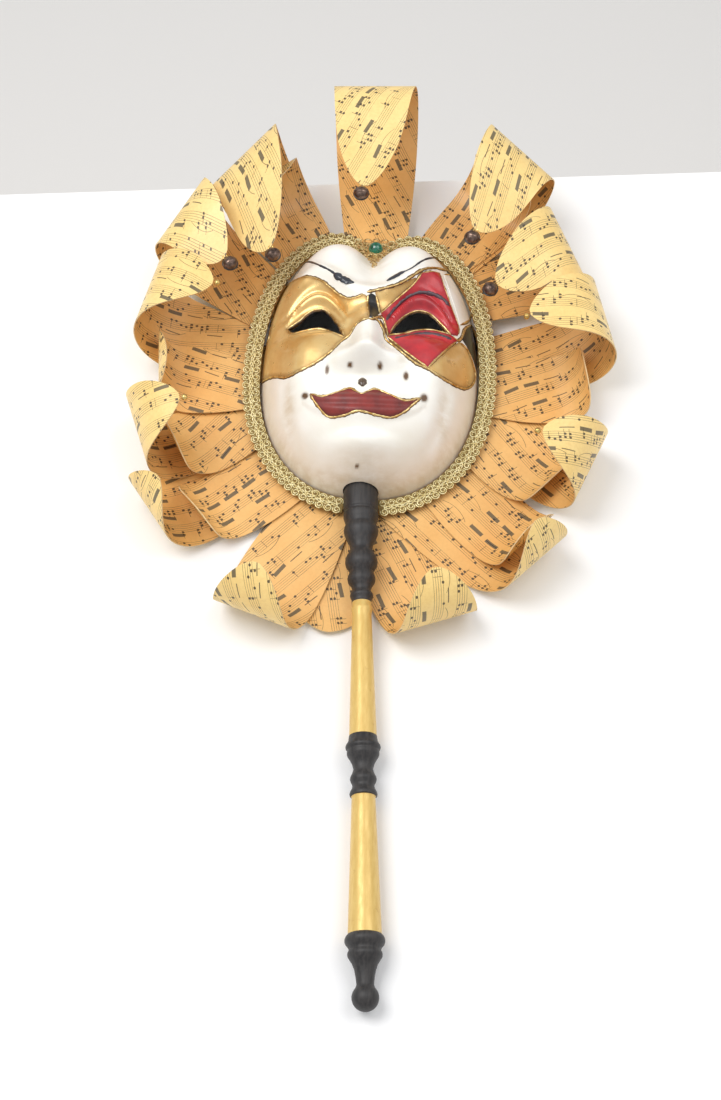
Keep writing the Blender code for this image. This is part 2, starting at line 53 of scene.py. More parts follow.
# Mask shell, as the solids have it
FACE_HALF_WIDTH = 0.084
FOREHEAD_LENGTH = 0.127
CHIN_LENGTH = 0.105
OUTLINE_POWER = 2.2
BROW_POWER = 2.5
BROW_DIP = 0.135
BROW_DIP_SPREAD = math.radians(10.0)
FACE_DEPTH = 0.070
DOME_POWER = 3.0
CHIN_DOME_POWER = 6.0
SHELL_WALL = 0.003
FACE_STEPS = 208
RIM_FROM = 0.85

# Eye openings
FACE_AXIS = -0.002
EYE_INNER = 0.0165
EYE_OUTER = 0.0625
EYE_LOW_INNER = 0.0145
EYE_LOW_OUTER = 0.0195
EYE_RISE = 0.0215

# Card strips
CARD_THICKNESS = 0.0008
LAYER_GAP = 0.0004
LOWEST_LAYER = 0.0022
WALL_GAP = 0.0016
ROOT_MARGIN = 0.006
FALL_TO_TABLE = 0.0006
LOOP_WIDTHS = (0.048, 0.068, 0.034)
CURL_WIDTHS = (0.044, 0.060, 0.054)
STRIP_STEPS = 72
STRIP_SPANS = 14

# Gimp braid
BRAID_WIDTH = 0.0140
BRAID_THICKNESS = 0.0034
BRAID_FACE_GAP = 0.0004
BRAID_REST_GAP = 0.0006
BRAID_END_GAP = 0.0005
BRAID_LOW_LAYER = 3
BRAID_HIGH_LAYER = 13
BRAID_STEPS = 240

# Ornament, stone, bells and beads
CABOCHON_RADIUS = 0.0058
CABOCHON_RISE = 0.0042
ORNAMENT_THICKNESS = 0.0012
ORNAMENT_TILT = math.radians(20.0)
ORNAMENT_SHIFT = 0.0035
ORNAMENT_REST_GAP = 0.0012
BELL_RADIUS = 0.0055
BEAD_RADIUS = 0.0024
TOUCH_GAP = 0.0003

# Turned handle
HANDLE_LENGTH = 0.391
HANDLE_SOCKET_HEIGHT = 0.0178
HANDLE_DEPTH_IN_CHIN = 0.010
HANDLE_YAW = math.radians(3.1)
SOCKET_RADIUS = 0.0130
SOCKET_CLEARANCE = 0.0004
MIDDLE_RINGS_AT = 0.523
WIDE_RING_RADIUS = 0.0138
WIDE_RING_BEFORE_BALL = 0.0387
BALL_RADIUS = 0.0093
TABLE_FLAT = 0.0003

# Camera, as the photograph was taken
PHOTO_WIDTH = 721.0
PHOTO_HEIGHT = 1100.0
FOCAL_PIXELS = 2050.0
CAMERA_ELEVATION = math.radians(62.0)
CAMERA_DISTANCE = 1.517
CAMERA_ROLL = math.radians(2.64)
CAMERA_AIM = Vector((-0.007, -0.150, 0.015))
SENSOR_HEIGHT = 36.0


def mask_place():
    """The middle of the face on the table, in the frame of the solids."""
    low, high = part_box("mask_shell")
    middle = (low[0] + high[0]) / 2.0
    return Vector((middle, low[1] + CHIN_LENGTH, 0.0))


PLACE = mask_place()


# Making and finishing pieces


def tone(red, green, blue):
    """A colour as it shows on screen, as linear light."""
    channels = []
    for value in (red, green, blue):
        share = value / 255.0
        linear = share / 12.92 if share <= 0.04045 else ((share + 0.055) / 1.055) ** 2.4
        channels.append(linear)
    return (*channels, 1.0)


def mesh_from(name, points, faces, smooth_angle=40.0):
    """A closed mesh, smooth but for its sharp edges."""
    mesh = bpy.data.meshes.new(name)
    mesh.from_pydata([tuple(point) for point in points], [], [tuple(face) for face in faces])
    work = bmesh.new()
    work.from_mesh(mesh)
    bmesh.ops.recalc_face_normals(work, faces=work.faces)
    work.to_mesh(mesh)
    work.free()
    mesh.shade_smooth()
    mesh.set_sharp_from_angle(angle=math.radians(smooth_angle))
    return mesh


def joined(meshes, name):
    """Several meshes as one, each with its own material number kept."""
    work = bmesh.new()
    for mesh in meshes:
        work.from_mesh(mesh)
    whole = bpy.data.meshes.new(name)
    work.to_mesh(whole)
    work.free()
    return whole


def add_piece(name, mesh, materials, stands_for=()):
    """A finished piece: its object at the origin, its place in its mesh."""
    piece = bpy.data.objects.new(name, mesh)
    scene.collection.objects.link(piece)
    for material in materials:
        mesh.materials.append(material)
    mesh.transform(Matrix.Translation(PLACE))
    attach(piece, "root")
    if stands_for:
        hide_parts(*stands_for)
    return piece


def settled(item):
    """The plain mesh of an object with its modifiers worked in; the object is removed."""
    bpy.context.view_layer.update()
    graph = bpy.context.evaluated_depsgraph_get()
    mesh = bpy.data.meshes.new_from_object(item.evaluated_get(graph), depsgraph=graph)
    numbers = [0] * len(mesh.polygons)
    mesh.polygons.foreach_get("material_index", numbers)
    mesh.materials.clear()
    mesh.polygons.foreach_set("material_index", numbers)
    bpy.data.objects.remove(item, do_unlink=True)
    return mesh


def loose_object(name, mesh):
    item = bpy.data.objects.new(name, mesh)
    scene.collection.objects.link(item)
    return item


class Finish:
    """One material and short ways to lay its nodes."""

    def __init__(self, name, roughness=0.5, metallic=0.0, coat=0.0):
        self.material = bpy.data.materials.new(name)
        self.material.use_nodes = True
        self.tree = self.material.node_tree
        self.shader = self.tree.nodes["Principled BSDF"]
        self.shader.inputs["Roughness"].default_value = roughness
        self.shader.inputs["Metallic"].default_value = metallic
        self.shader.inputs["Coat Weight"].default_value = coat
        self.shader.inputs["Coat Roughness"].default_value = 0.12

    def node(self, kind, **settings):
        made = self.tree.nodes.new(kind)
        for key, value in settings.items():
            setattr(made, key, value)
        return made

    def put(self, socket, value):
        if isinstance(value, bpy.types.NodeSocket):
            self.tree.links.new(value, socket)
        else:
            socket.default_value = value

    def sum(self, operation, first, second=0.0, third=0.0, clamp=False):
        made = self.node("ShaderNodeMath", operation=operation, use_clamp=clamp)
        for socket, value in zip(made.inputs, (first, second, third)):
            self.put(socket, value)
        return made.outputs[0]

    def mix(self, share, low, high):
        made = self.node("ShaderNodeMix", data_type="RGBA")
        self.put(made.inputs[0], share)
        self.put(made.inputs[6], low)
        self.put(made.inputs[7], high)
        return made.outputs[2]

    def object_place(self):
        return self.node("ShaderNodeTexCoord").outputs["Object"]

    def attribute(self, name):
        return self.node("ShaderNodeAttribute", attribute_name=name).outputs["Fac"]

    def noise(self, scale, detail=3.0, roughness=0.5, where=None, stretch=None):
        made = self.node("ShaderNodeTexNoise")
        place = where if where is not None else self.object_place()
        if stretch is not None:
            mapping = self.node("ShaderNodeMapping")
            mapping.inputs["Scale"].default_value = stretch
            self.put(mapping.inputs["Vector"], place)
            place = mapping.outputs["Vector"]
        self.put(made.inputs["Vector"], place)
        made.inputs["Scale"].default_value = scale
        made.inputs["Detail"].default_value = detail
        made.inputs["Roughness"].default_value = roughness
        return made.outputs["Fac"]

    def span(self, value, low, high, to_low=0.0, to_high=1.0):
        made = self.node("ShaderNodeMapRange", clamp=True)
        for socket, item in zip(made.inputs, (value, low, high, to_low, to_high)):
            self.put(socket, item)
        return made.outputs["Result"]

    def bump(self, height, strength, distance):
        made = self.node("ShaderNodeBump")
        made.inputs["Strength"].default_value = strength
        made.inputs["Distance"].default_value = distance
        self.put(made.inputs["Height"], height)
        self.tree.links.new(made.outputs["Normal"], self.shader.inputs["Normal"])

    def colour(self, value):
        self.put(self.shader.inputs["Base Color"], value)

    def rough(self, value):
        self.put(self.shader.inputs["Roughness"], value)


# Finishes


def white_lacquer():
    """Thick white paint, with brown painted shade in the hollows and towards the rim, broken up by streaks.
    """
    finish = Finish("white_lacquer", roughness=0.34, coat=0.12)
    cloudy = finish.span(finish.noise(28.0, 4.0), 0.35, 0.70)
    base = finish.mix(cloudy, tone(250, 247, 239), tone(240, 235, 222))
    streaks = finish.noise(60.0, 5.0, 0.6, stretch=(1.0, 2.5, 1.0))
    # Painted shade from the hollow and rim map, broken up by the streaks.
    darker_share = finish.sum("MULTIPLY", finish.attribute("hollow_and_rim_shade"), finish.span(streaks, 0.30, 0.62))
    warm = finish.mix(darker_share, base, tone(206, 186, 150))
    spots = finish.attribute("spots")
    finish.colour(finish.mix(spots, warm, tone(96, 66, 34)))
    finish.rough(finish.span(finish.noise(90.0, 2.0), 0.3, 0.7, 0.28, 0.42))
    finish.bump(finish.noise(260.0, 4.0, 0.6), 0.25, 0.0004)
    return finish.material


def gold_leaf():
    """Rubbed gold paint, darker brown in random worn patches, with painted shade along the patch's edges."""
    finish = Finish("gold_leaf", roughness=0.34, metallic=0.50, coat=0.30)
    cloudy = finish.span(finish.noise(34.0, 5.0, 0.6), 0.32, 0.68)
    base = finish.mix(cloudy, tone(244, 212, 146), tone(220, 172, 96))
    darker_share = finish.span(finish.noise(85.0, 6.0, 0.7), 0.60, 0.74)
    # Painted shade along the patch's edges, joined with the worn patches.
    edge = finish.sum("MAXIMUM", finish.sum("MULTIPLY", darker_share, 0.45), finish.attribute("edge"))
    finish.colour(finish.mix(edge, base, tone(134, 88, 36)))
    finish.rough(finish.span(finish.noise(120.0, 3.0), 0.3, 0.7, 0.26, 0.40))
    finish.bump(finish.noise(170.0, 5.0, 0.6), 0.35, 0.0004)
    return finish.material


def gold_line():
    finish = Finish("gold_line", roughness=0.30, metallic=0.85)
    patches = finish.span(finish.noise(240.0, 4.0, 0.6), 0.35, 0.66)
    finish.colour(finish.mix(patches, tone(246, 222, 160), tone(186, 138, 66)))
    finish.bump(finish.noise(700.0, 3.0), 0.4, 0.0003)
    return finish.material


def dark_edge():
    finish = Finish("dark_edge", roughness=0.45)
    patches = finish.span(finish.noise(180.0, 4.0), 0.35, 0.65)
    finish.colour(finish.mix(patches, tone(62, 40, 20), tone(120, 84, 38)))
    return finish.material


def lacquer(name, light, dark, scale=45.0, coat=0.6, roughness=0.32):
    """A deep gloss colour, unevenly brushed, with painted shade at its edges."""
    finish = Finish(name, roughness=roughness, coat=coat)
    cloudy = finish.span(finish.noise(scale, 5.0, 0.6), 0.36, 0.70)
    # Painted shade where the paint meets its outline.
    shade = finish.sum("MAXIMUM", finish.sum("MULTIPLY", cloudy, 0.65), finish.attribute("edge"))
    finish.colour(finish.mix(shade, light, dark))
    finish.bump(finish.noise(220.0, 4.0), 0.3, 0.0004)
    return finish.material


def inner_paint():
    # Near-black inside of the shell: taken as black paint, and dark to stand in for the shade seen through
    # the eye openings.
    finish = Finish("inner_paint", roughness=0.9)
    finish.colour(finish.mix(finish.noise(70.0, 4.0), tone(24, 22, 20), tone(44, 40, 36)))
    finish.bump(finish.noise(300.0, 5.0, 0.7), 0.6, 0.0008)
    return finish.material


def gold_thread():
    """Metal-wrapped thread, with painted highlight on top and painted shade between its windings."""
    finish = Finish("gold_thread", roughness=0.36, metallic=0.40)
    windings = finish.noise(900.0, 2.0, 0.5)
    patches = finish.span(windings, 0.36, 0.62)
    finish.colour(finish.mix(patches, tone(255, 246, 200), tone(206, 184, 116)))
    finish.bump(windings, 0.8, 0.0004)
    return finish.material


def braid_ground():
    # Woven ground, coloured dark: painted shade for the gaps between the cords.
    finish = Finish("braid_ground", roughness=0.7, metallic=0.3)
    finish.colour(finish.mix(finish.noise(500.0, 3.0), tone(98, 76, 38), tone(172, 146, 84)))
    finish.bump(finish.noise(900.0, 2.0), 0.8, 0.0005)
    return finish.material


def cast_metal(name, light, dark, roughness, scale=300.0):
    finish = Finish(name, roughness=roughness, metallic=0.9)
    patches = finish.span(finish.noise(scale, 4.0, 0.6), 0.35, 0.66)
    finish.colour(finish.mix(patches, light, dark))
    finish.rough(finish.span(patches, 0.0, 1.0, roughness * 0.8, roughness * 1.4))
    finish.bump(finish.noise(scale * 2.0, 3.0), 0.3, 0.0003)
    return finish.material


def green_stone():
    finish = Finish("green_stone", roughness=0.04, coat=1.0)
    veins = finish.span(finish.noise(260.0, 4.0, 0.6), 0.40, 0.66)
    finish.colour(finish.mix(veins, tone(10, 120, 92), tone(4, 66, 50)))
    return finish.material


def black_wood():
    finish = Finish("black_wood", roughness=0.5)
    grain = finish.noise(60.0, 5.0, 0.6, stretch=(8.0, 0.8, 8.0))
    finish.colour(finish.mix(finish.span(grain, 0.4, 0.7), tone(36, 34, 34), tone(60, 56, 54)))
    finish.rough(finish.span(grain, 0.3, 0.7, 0.42, 0.60))
    finish.bump(grain, 0.25, 0.0004)
    return finish.material


def gilded_wood():
    finish = Finish("gilded_wood", roughness=0.46, metallic=0.20, coat=0.06)
    grain = finish.noise(90.0, 6.0, 0.6, stretch=(5.0, 0.9, 5.0))
    base = finish.mix(finish.span(grain, 0.30, 0.74), tone(228, 194, 116), tone(210, 172, 92))
    # Darker worn patches at random.
    darker_share = finish.span(finish.noise(130.0, 6.0, 0.7), 0.62, 0.72)
    finish.colour(finish.mix(finish.sum("MULTIPLY", darker_share, 0.4), base, tone(166, 120, 60)))
    finish.rough(finish.span(grain, 0.3, 0.7, 0.30, 0.46))
    finish.bump(grain, 0.2, 0.0004)
    return finish.material


STAVE_PERIOD = 0.0172
STAVE_LINE_GAP = 0.00175
STAVE_BASE = 0.0030
NOTE_STEP = 0.0042
BAR_STEP = 0.0378
STROKE = 0.00028
NOTE_HALF_WIDTH = 0.00115
NOTE_HALF_HEIGHT = 0.00095
STEM_OFFSET = 0.0009
STEM_HALF_LENGTH = 0.0032
BROAD_BEAM = 0.00155
THIN_BEAM = 0.00036
SLUR_RADIUS = 0.026
SLUR_HALF_LENGTH = 0.0125
SLUR_HEIGHT = 0.0095


class MusicPrint:
    """A made-up music print: staves, note dots, stems, beams, bar lines and slurs."""

    def __init__(self, finish, sheet):
        self.f = finish
        place = finish.node("ShaderNodeUVMap", uv_map="print").outputs["UV"]
        parts = finish.node("ShaderNodeSeparateXYZ")
        finish.put(parts.inputs[0], place)
        self.along = finish.sum("ADD", parts.outputs[0], sheet * 0.37)
        across = finish.sum("ADD", parts.outputs[1], sheet * 0.11)
        steps = finish.sum("DIVIDE", across, STAVE_PERIOD)
        self.row = finish.sum("FLOOR", steps)
        inside = finish.sum("SUBTRACT", steps, self.row)
        self.up = finish.sum("MULTIPLY_ADD", inside, STAVE_PERIOD, -STAVE_BASE)

    def within(self, value, middle, reach):
        """1 where value lies no farther than reach from middle."""
        return self.f.sum("COMPARE", value, middle, reach)

    def both(self, *shares):
        whole = shares[0]
        for share in shares[1:]:
            whole = self.f.sum("MULTIPLY", whole, share)
        return whole

    def any_of(self, *shares):
        whole = shares[0]
        for share in shares[1:]:
            whole = self.f.sum("MAXIMUM", whole, share)
        return whole

    def chance(self, number, salt):
        """Three even random numbers for a cell of the print."""
        key = self.f.node("ShaderNodeCombineXYZ")
        self.f.put(key.inputs[0], number)
        self.f.put(key.inputs[1], self.row)
        key.inputs[2].default_value = salt
        noise = self.f.node("ShaderNodeTexWhiteNoise", noise_dimensions="3D")
        self.f.put(noise.inputs["Vector"], key.outputs[0])
        parts = self.f.node("ShaderNodeSeparateColor")
        self.f.put(parts.inputs[0], noise.outputs["Color"])
        return parts.outputs[0], parts.outputs[1], parts.outputs[2]

    def cell(self, step):
        """Number of a cell along the stave and the place in it, from its middle."""
        count = self.f.sum("DIVIDE", self.along, step)
        number = self.f.sum("FLOOR", count)
        place = self.f.sum("SUBTRACT", self.f.sum("SUBTRACT", count, number), 0.5)
        return number, self.f.sum("MULTIPLY", place, step)

    def staves(self):
        lines = self.f.sum("DIVIDE", self.up, STAVE_LINE_GAP)
        nearest = self.f.sum("ROUND", lines)
        gap = self.f.sum("ABSOLUTE", self.f.sum("SUBTRACT", lines, nearest))
        stroke = self.f.sum("LESS_THAN", gap, STROKE * 0.5 / STAVE_LINE_GAP)
        return self.both(stroke, self.within(nearest, 2.0, 2.1))

    def bars(self):
        _, place = self.cell(BAR_STEP)
        line = self.within(place, 0.0, STROKE * 0.7)
        stave = self.within(self.up, 2.0 * STAVE_LINE_GAP, 2.0 * STAVE_LINE_GAP)
        return self.both(line, stave)

    def head(self, place, height, shown):
        wide = self.f.sum("DIVIDE", place, NOTE_HALF_WIDTH)
        high = self.f.sum("DIVIDE", self.f.sum("SUBTRACT", self.up, height), NOTE_HALF_HEIGHT)
        square = self.f.sum("ADD", self.f.sum("POWER", wide, 2.0), self.f.sum("POWER", high, 2.0))
        return self.both(self.f.sum("LESS_THAN", square, 1.0), shown)

    def notes(self):
        number, place = self.cell(NOTE_STEP)
        first, second, third = self.chance(number, 3.0)
        shown = self.f.sum("LESS_THAN", first, 0.58)
        step = self.f.sum("FLOOR", self.f.sum("MULTIPLY", second, 9.0))
        height = self.f.sum("MULTIPLY", step, STAVE_LINE_GAP * 0.5)
        chord = self.both(shown, self.f.sum("LESS_THAN", third, 0.45))
        upper = self.f.sum("ADD", height, STAVE_LINE_GAP * 1.5)
        heads = self.any_of(self.head(place, height, shown), self.head(place, upper, chord))
        stem_side = self.within(place, STEM_OFFSET, STROKE * 0.6)
        rise = self.f.sum("SUBTRACT", self.up, height)
        stem = self.both(stem_side, self.within(rise, STEM_HALF_LENGTH, STEM_HALF_LENGTH), chord)
        return self.any_of(heads, stem)

    def beams(self):
        """Broad grey beams and thin black ones, over four notes."""
        group = NOTE_STEP * 4.0
        number, place = self.cell(group)
        first, second, _ = self.chance(number, 11.0)
        slope = self.f.sum("MULTIPLY", self.f.sum("SUBTRACT", second, 0.5), 0.28)
        line = self.f.sum("MULTIPLY_ADD", place, slope, STAVE_LINE_GAP * 6.0)
        rise = self.f.sum("SUBTRACT", self.up, line)
        side = self.within(place, 0.0, group * 0.36)
        broad_shown = self.f.sum("LESS_THAN", first, 0.36)
        broad = self.both(side, self.within(rise, 0.0, BROAD_BEAM), broad_shown)
        thin_shown = self.within(first, 0.45, 0.12)
        thin = self.both(side, self.within(rise, 0.0, THIN_BEAM), thin_shown)
        return broad, thin

    def slurs(self):
        span = NOTE_STEP * 9.0
        number, place = self.cell(span)
        first, second, _ = self.chance(number, 23.0)
        middle = self.f.sum("MULTIPLY_ADD", second, 0.004, -SLUR_RADIUS + SLUR_HEIGHT)
        rise = self.f.sum("SUBTRACT", self.up, middle)
        square = self.f.sum("ADD", self.f.sum("POWER", place, 2.0), self.f.sum("POWER", rise, 2.0))
        arc = self.within(self.f.sum("SQRT", square), SLUR_RADIUS, STROKE * 0.7)
        shown = self.f.sum("LESS_THAN", first, 0.5)
        return self.both(arc, self.within(place, 0.0, SLUR_HALF_LENGTH), shown)


def printed_card(name, sheet, light, deep):
    """Aged tan card with the music print on it."""
    finish = Finish(name, roughness=0.48, coat=0.12)
    cloudy = finish.span(finish.noise(16.0, 4.0, 0.6), 0.30, 0.72)
    paper = finish.mix(cloudy, light, deep)
    fibres = finish.span(finish.noise(420.0, 4.0, 0.7), 0.40, 0.75)
    paper = finish.mix(finish.sum("MULTIPLY", fibres, 0.22), paper, tone(200, 146, 76))
    music = MusicPrint(finish, sheet)
    broad, thin = music.beams()
    lines = music.any_of(music.staves(), music.bars(), music.slurs())
    faded = finish.span(finish.noise(60.0, 3.0), 0.3, 0.6, 0.60, 0.95)
    printed = finish.mix(finish.sum("MULTIPLY", lines, faded), paper, tone(96, 72, 42))
    printed = finish.mix(finish.sum("MULTIPLY", broad, 0.88), printed, tone(82, 74, 56))
    dots = music.any_of(music.notes(), thin)
    finish.colour(finish.mix(finish.sum("MULTIPLY", dots, 0.9), printed, tone(52, 42, 30)))
    finish.bump(finish.noise(600.0, 4.0, 0.7), 0.12, 0.0004)
    return finish.material


def card_edge():
    finish = Finish("card_edge", roughness=0.7)
    finish.colour(finish.mix(finish.noise(300.0, 3.0), tone(238, 214, 168), tone(206, 168, 110)))
    return finish.material


# Face outline and relief, each a whole array of places at a time


def smooth_step(value):
    value = np.clip(value, 0.0, 1.0)
    return value * value * (3.0 - 2.0 * value)


def outline_radius(angle, margin=0.0):
    """Distance from the face's centre to its edge, in a direction seen from above."""
    across = np.cos(angle)
    along = np.sin(angle)
    upper = along > 0.0
    half_length = np.where(upper, FOREHEAD_LENGTH, CHIN_LENGTH) + margin
    power = np.where(upper, OUTLINE_POWER + (BROW_POWER - OUTLINE_POWER) * along ** 2, OUTLINE_POWER)
    side = np.abs(across / (FACE_HALF_WIDTH + margin)) ** power
    end = np.abs(along / half_length) ** power
    dip = BROW_DIP * np.exp(-(((angle - math.pi / 2.0) / BROW_DIP_SPREAD) ** 2))
    return (side + end) ** (-1.0 / power) * (1.0 - dip)


def outline_point(angle, margin=0.0):
    reach = float(outline_radius(np.array(angle), margin))
    return Vector((reach * math.cos(angle), reach * math.sin(angle), 0.0))


def swell(x, y, center_x, center_y, reach_x, reach_y):
    """A soft round mound, 1 at its centre."""
    return np.exp(-(((x - center_x) / reach_x) ** 2) - ((y - center_y) / reach_y) ** 2)


def dome_power(angle):
    """How square the shell's section is: rounder at the brow, steep below the chin."""
    return DOME_POWER + (CHIN_DOME_POWER - DOME_POWER) * np.clip(-np.sin(angle), 0.0, 1.0) ** 2


def nose_relief(x, y):
    """The bridge, the ball and the wings of the nose."""
    bridge_y = 0.036
    tip_y = -0.022
    base_y = -0.036
    down = np.clip((bridge_y - y) / (bridge_y - tip_y), 0.0, 1.0)
    rise = 0.006 * smooth_step(down * 2.5) + 0.019 * down ** 1.5
    under = np.clip((tip_y - y) / (tip_y - base_y), 0.0, 1.0)
    rise = np.where(y > tip_y, rise, 0.025 * (1.0 - smooth_step(under)))
    half_width = 0.0075 + 0.0065 * down
    ridge = rise * np.exp(-np.abs(x / half_width) ** 2.4)
    ball = 0.004 * swell(x, y, 0.0, -0.020, 0.010, 0.010)
    wings = 0.010 * swell(np.abs(x), y, 0.020, -0.023, 0.0105, 0.0100)
    return ridge + ball + wings


def eye_top(side):
    """How far up the opening reaches, at a distance from the face's middle line."""
    run = np.clip((side - EYE_INNER) / (EYE_OUTER - EYE_INNER), 0.0, 1.0)
    base = EYE_LOW_INNER + (EYE_LOW_OUTER - EYE_LOW_INNER) * run
    return base + EYE_RISE * np.sin(math.pi * run) ** 0.8


def eye_relief(x, y):
    """The socket, the rolled lid and the bag under the eye."""
    side = np.abs(x)
    socket = -0.010 * swell(side, y, 0.036, 0.028, 0.026, 0.019)
    above = y - eye_top(side)
    near = np.exp(-(((side - 0.040) / 0.026) ** 4))
    lid_roll = 0.0035 * np.exp(-(((above - 0.0050) / 0.0034) ** 2)) * near
    lid_fold = -0.0030 * np.exp(-(((above - 0.0120) / 0.0030) ** 2)) * near
    bag = 0.0075 * swell(side, y, 0.043, -0.006, 0.023, 0.0145)
    bag_fold = -0.0030 * swell(side, y, 0.040, 0.0100, 0.026, 0.0036)
    return socket + lid_roll + lid_fold + bag + bag_fold


def brow_relief(x, y):
    """The brow ridge, the two forehead mounds and the dip between them."""
    side = np.abs(x)
    climb = 0.024 * smooth_step((side - 0.008) / 0.036) - 0.010 * smooth_step((side - 0.045) / 0.020)
    ridge = 0.0065 * np.exp(-(((y - 0.046 - climb) / 0.0085) ** 2)) * np.exp(-((side / 0.064) ** 6))
    bulge = 0.0075 * swell(side, y, 0.037, 0.096, 0.025, 0.018)
    frown = -0.0075 * swell(x, y, 0.0, 0.086, 0.010, 0.032)
    return ridge + bulge + frown


def mouth_middle(x):
    return -0.0623 + 0.0065 * (x / 0.041) ** 2


def mouth_relief(x, y):
    """The muzzle and the lips, with a soft line where they part."""
    muzzle = 0.007 * swell(x, y, 0.0, -0.058, 0.034, 0.026)
    middle = mouth_middle(x)
    half = 0.0018 + 0.0075 * np.clip(1.0 - (x / 0.043) ** 2, 0.0, 1.0) ** 0.6
    taper = np.clip(1.0 - (x / 0.046) ** 2, 0.0, 1.0) ** 0.5
    lips = 0.0048 * np.exp(-(((y - middle) / half) ** 4)) * taper
    parting = -0.0014 * np.exp(-(((y - middle + 0.0005) / 0.0026) ** 2)) * taper
    return muzzle + lips + parting


def cheek_and_chin_relief(x, y):
    """Cheeks, smile creases, chin and the fold above it."""
    side = np.abs(x)
    cheeks = 0.008 * swell(side, y, 0.050, -0.030, 0.022, 0.022)
    down = np.clip((-0.036 - y) / 0.050, 0.0, 1.0)
    crease_x = 0.0610 - 0.0150 * down ** 2
    window = np.clip(np.sin(math.pi * np.clip((-0.030 - y) / 0.066, 0.0, 1.0)), 0.0, 1.0) ** 0.6
    crease = -0.0030 * np.exp(-(((side - crease_x) / 0.0045) ** 2)) * window
    chin = 0.011 * swell(x, y, 0.0, -0.090, 0.022, 0.014)
    fold = -0.0035 * swell(x, y, 0.0, -0.0785, 0.022, 0.005)
    return cheeks + crease + chin + fold


def face_height(x, y):
    """Height of the face's outer surface above the table."""
    reach = np.hypot(x, y)
    angle = np.arctan2(y, x)
    share = np.minimum(reach / outline_radius(angle), 1.0)
    dome = FACE_DEPTH * np.sqrt(np.clip(1.0 - share ** dome_power(angle), 0.0, 1.0))
    fade = smooth_step((1.0 - share) / 0.16)
    middle = x - FACE_AXIS
    relief = nose_relief(middle, y) + eye_relief(middle, y) + brow_relief(middle, y)
    relief = relief + mouth_relief(middle, y) + cheek_and_chin_relief(middle, y)
    return dome + fade * relief


def face_normal(x, y):
    """The way the face's outer surface looks out, from its slopes."""
    step = 0.0004
    slope_x = (face_height(x + step, y) - face_height(x - step, y)) / (2.0 * step)
    slope_y = (face_height(x, y + step) - face_height(x, y - step)) / (2.0 * step)
    normal = np.stack([-slope_x, -slope_y, np.ones_like(slope_x)], axis=-1)
    return normal / np.linalg.norm(normal, axis=-1, keepdims=True)


# Camera, and from the photograph to the face


def camera_axes():
    """Right, up and forward of the camera, seen from the face."""
    turn = Matrix.Rotation(CAMERA_ROLL, 3, "Z")
    right = turn @ Vector((1.0, 0.0, 0.0))
    high = turn @ Vector((0.0, math.sin(CAMERA_ELEVATION), math.cos(CAMERA_ELEVATION)))
    ahead = turn @ Vector((0.0, math.cos(CAMERA_ELEVATION), -math.sin(CAMERA_ELEVATION)))
    place = turn @ CAMERA_AIM - ahead * CAMERA_DISTANCE
    return right, high, ahead, place


def on_face(pixels):
    """Places on the face that the photograph shows at these pixels."""
    right, high, ahead, place = (np.array(item) for item in camera_axes())
    pixels = np.asarray(pixels, dtype=float)
    ray = (
        ahead[None, :] * FOCAL_PIXELS
        + right[None, :] * (pixels[:, :1] - PHOTO_WIDTH / 2.0)
        - high[None, :] * (pixels[:, 1:] - PHOTO_HEIGHT / 2.0)
    )
    ray /= np.linalg.norm(ray, axis=1, keepdims=True)
    ceiling = FACE_DEPTH * 1.7
    start = (ceiling - place[2]) / ray[:, 2]
    end = -place[2] / ray[:, 2]
    share = np.linspace(0.0, 1.0, 600)
    reach = start[:, None] + (end - start)[:, None] * share[None, :]
    trail = place[None, None, :] + reach[:, :, None] * ray[:, None, :]
    above = trail[:, :, 2] - face_height(trail[:, :, 0], trail[:, :, 1])
    hit = np.argmax(above <= 0.0, axis=1)
    hit = np.clip(hit, 1, share.size - 1)
    rows = np.arange(pixels.shape[0])
    before = above[rows, hit - 1]
    after = above[rows, hit]
    blend = before / np.maximum(before - after, 1e-9)
    found = trail[rows, hit - 1] + (trail[rows, hit] - trail[rows, hit - 1]) * blend[:, None]
    return found[:, :2]


def flowing(points, spacing=1.0):
    """Even places along a smooth line through the points."""
    points = np.asarray(points, dtype=float)
    if len(points) == 2:
        count = max(int(np.linalg.norm(points[1] - points[0]) / spacing), 2)
        return points[0] + (points[1] - points[0]) * np.linspace(0.0, 1.0, count + 1)[:, None]
    padded = np.vstack([2.0 * points[0] - points[1], points, 2.0 * points[-1] - points[-2]])
    line = []
    for a, b, c, d in zip(padded, padded[1:], padded[2:], padded[3:]):
        count = max(int(np.linalg.norm(c - b) / spacing), 1)
        for i in range(count):
            t = i / count
            value = 0.5 * (
                2.0 * b
                + (c - a) * t
                + (2.0 * a - 5.0 * b + 4.0 * c - d) * t ** 2
                + (3.0 * b - a - 3.0 * c + d) * t ** 3
            )
            line.append(value)
    line.append(points[-1])
    return np.array(line)


# Painted face


def inside_of(outline, places):
    """Which places lie inside a closed outline."""
    x = places[:, 0][:, None]
    y = places[:, 1][:, None]
    first = outline
    second = np.roll(outline, -1, axis=0)
    low = first[:, 1][None, :] <= y
    high = second[:, 1][None, :] <= y
    rise = second[:, 1] - first[:, 1]
    rise = np.where(np.abs(rise) < 1e-12, 1e-12, rise)
    slant = (second[:, 0] - first[:, 0]) / rise
    cross = first[:, 0][None, :] + (y - first[:, 1][None, :]) * slant[None, :]
    hits = (low != high) & (x < cross)
    return hits.sum(axis=1) % 2 == 1


def nearest(places, marks, block=4000):
    """Distance from each place to the nearest mark."""
    gaps = [
        np.linalg.norm(places[i:i + block, None, :] - marks[None, :, :], axis=2).min(axis=1)
        for i in range(0, len(places), block)
    ]
    return np.concatenate(gaps)


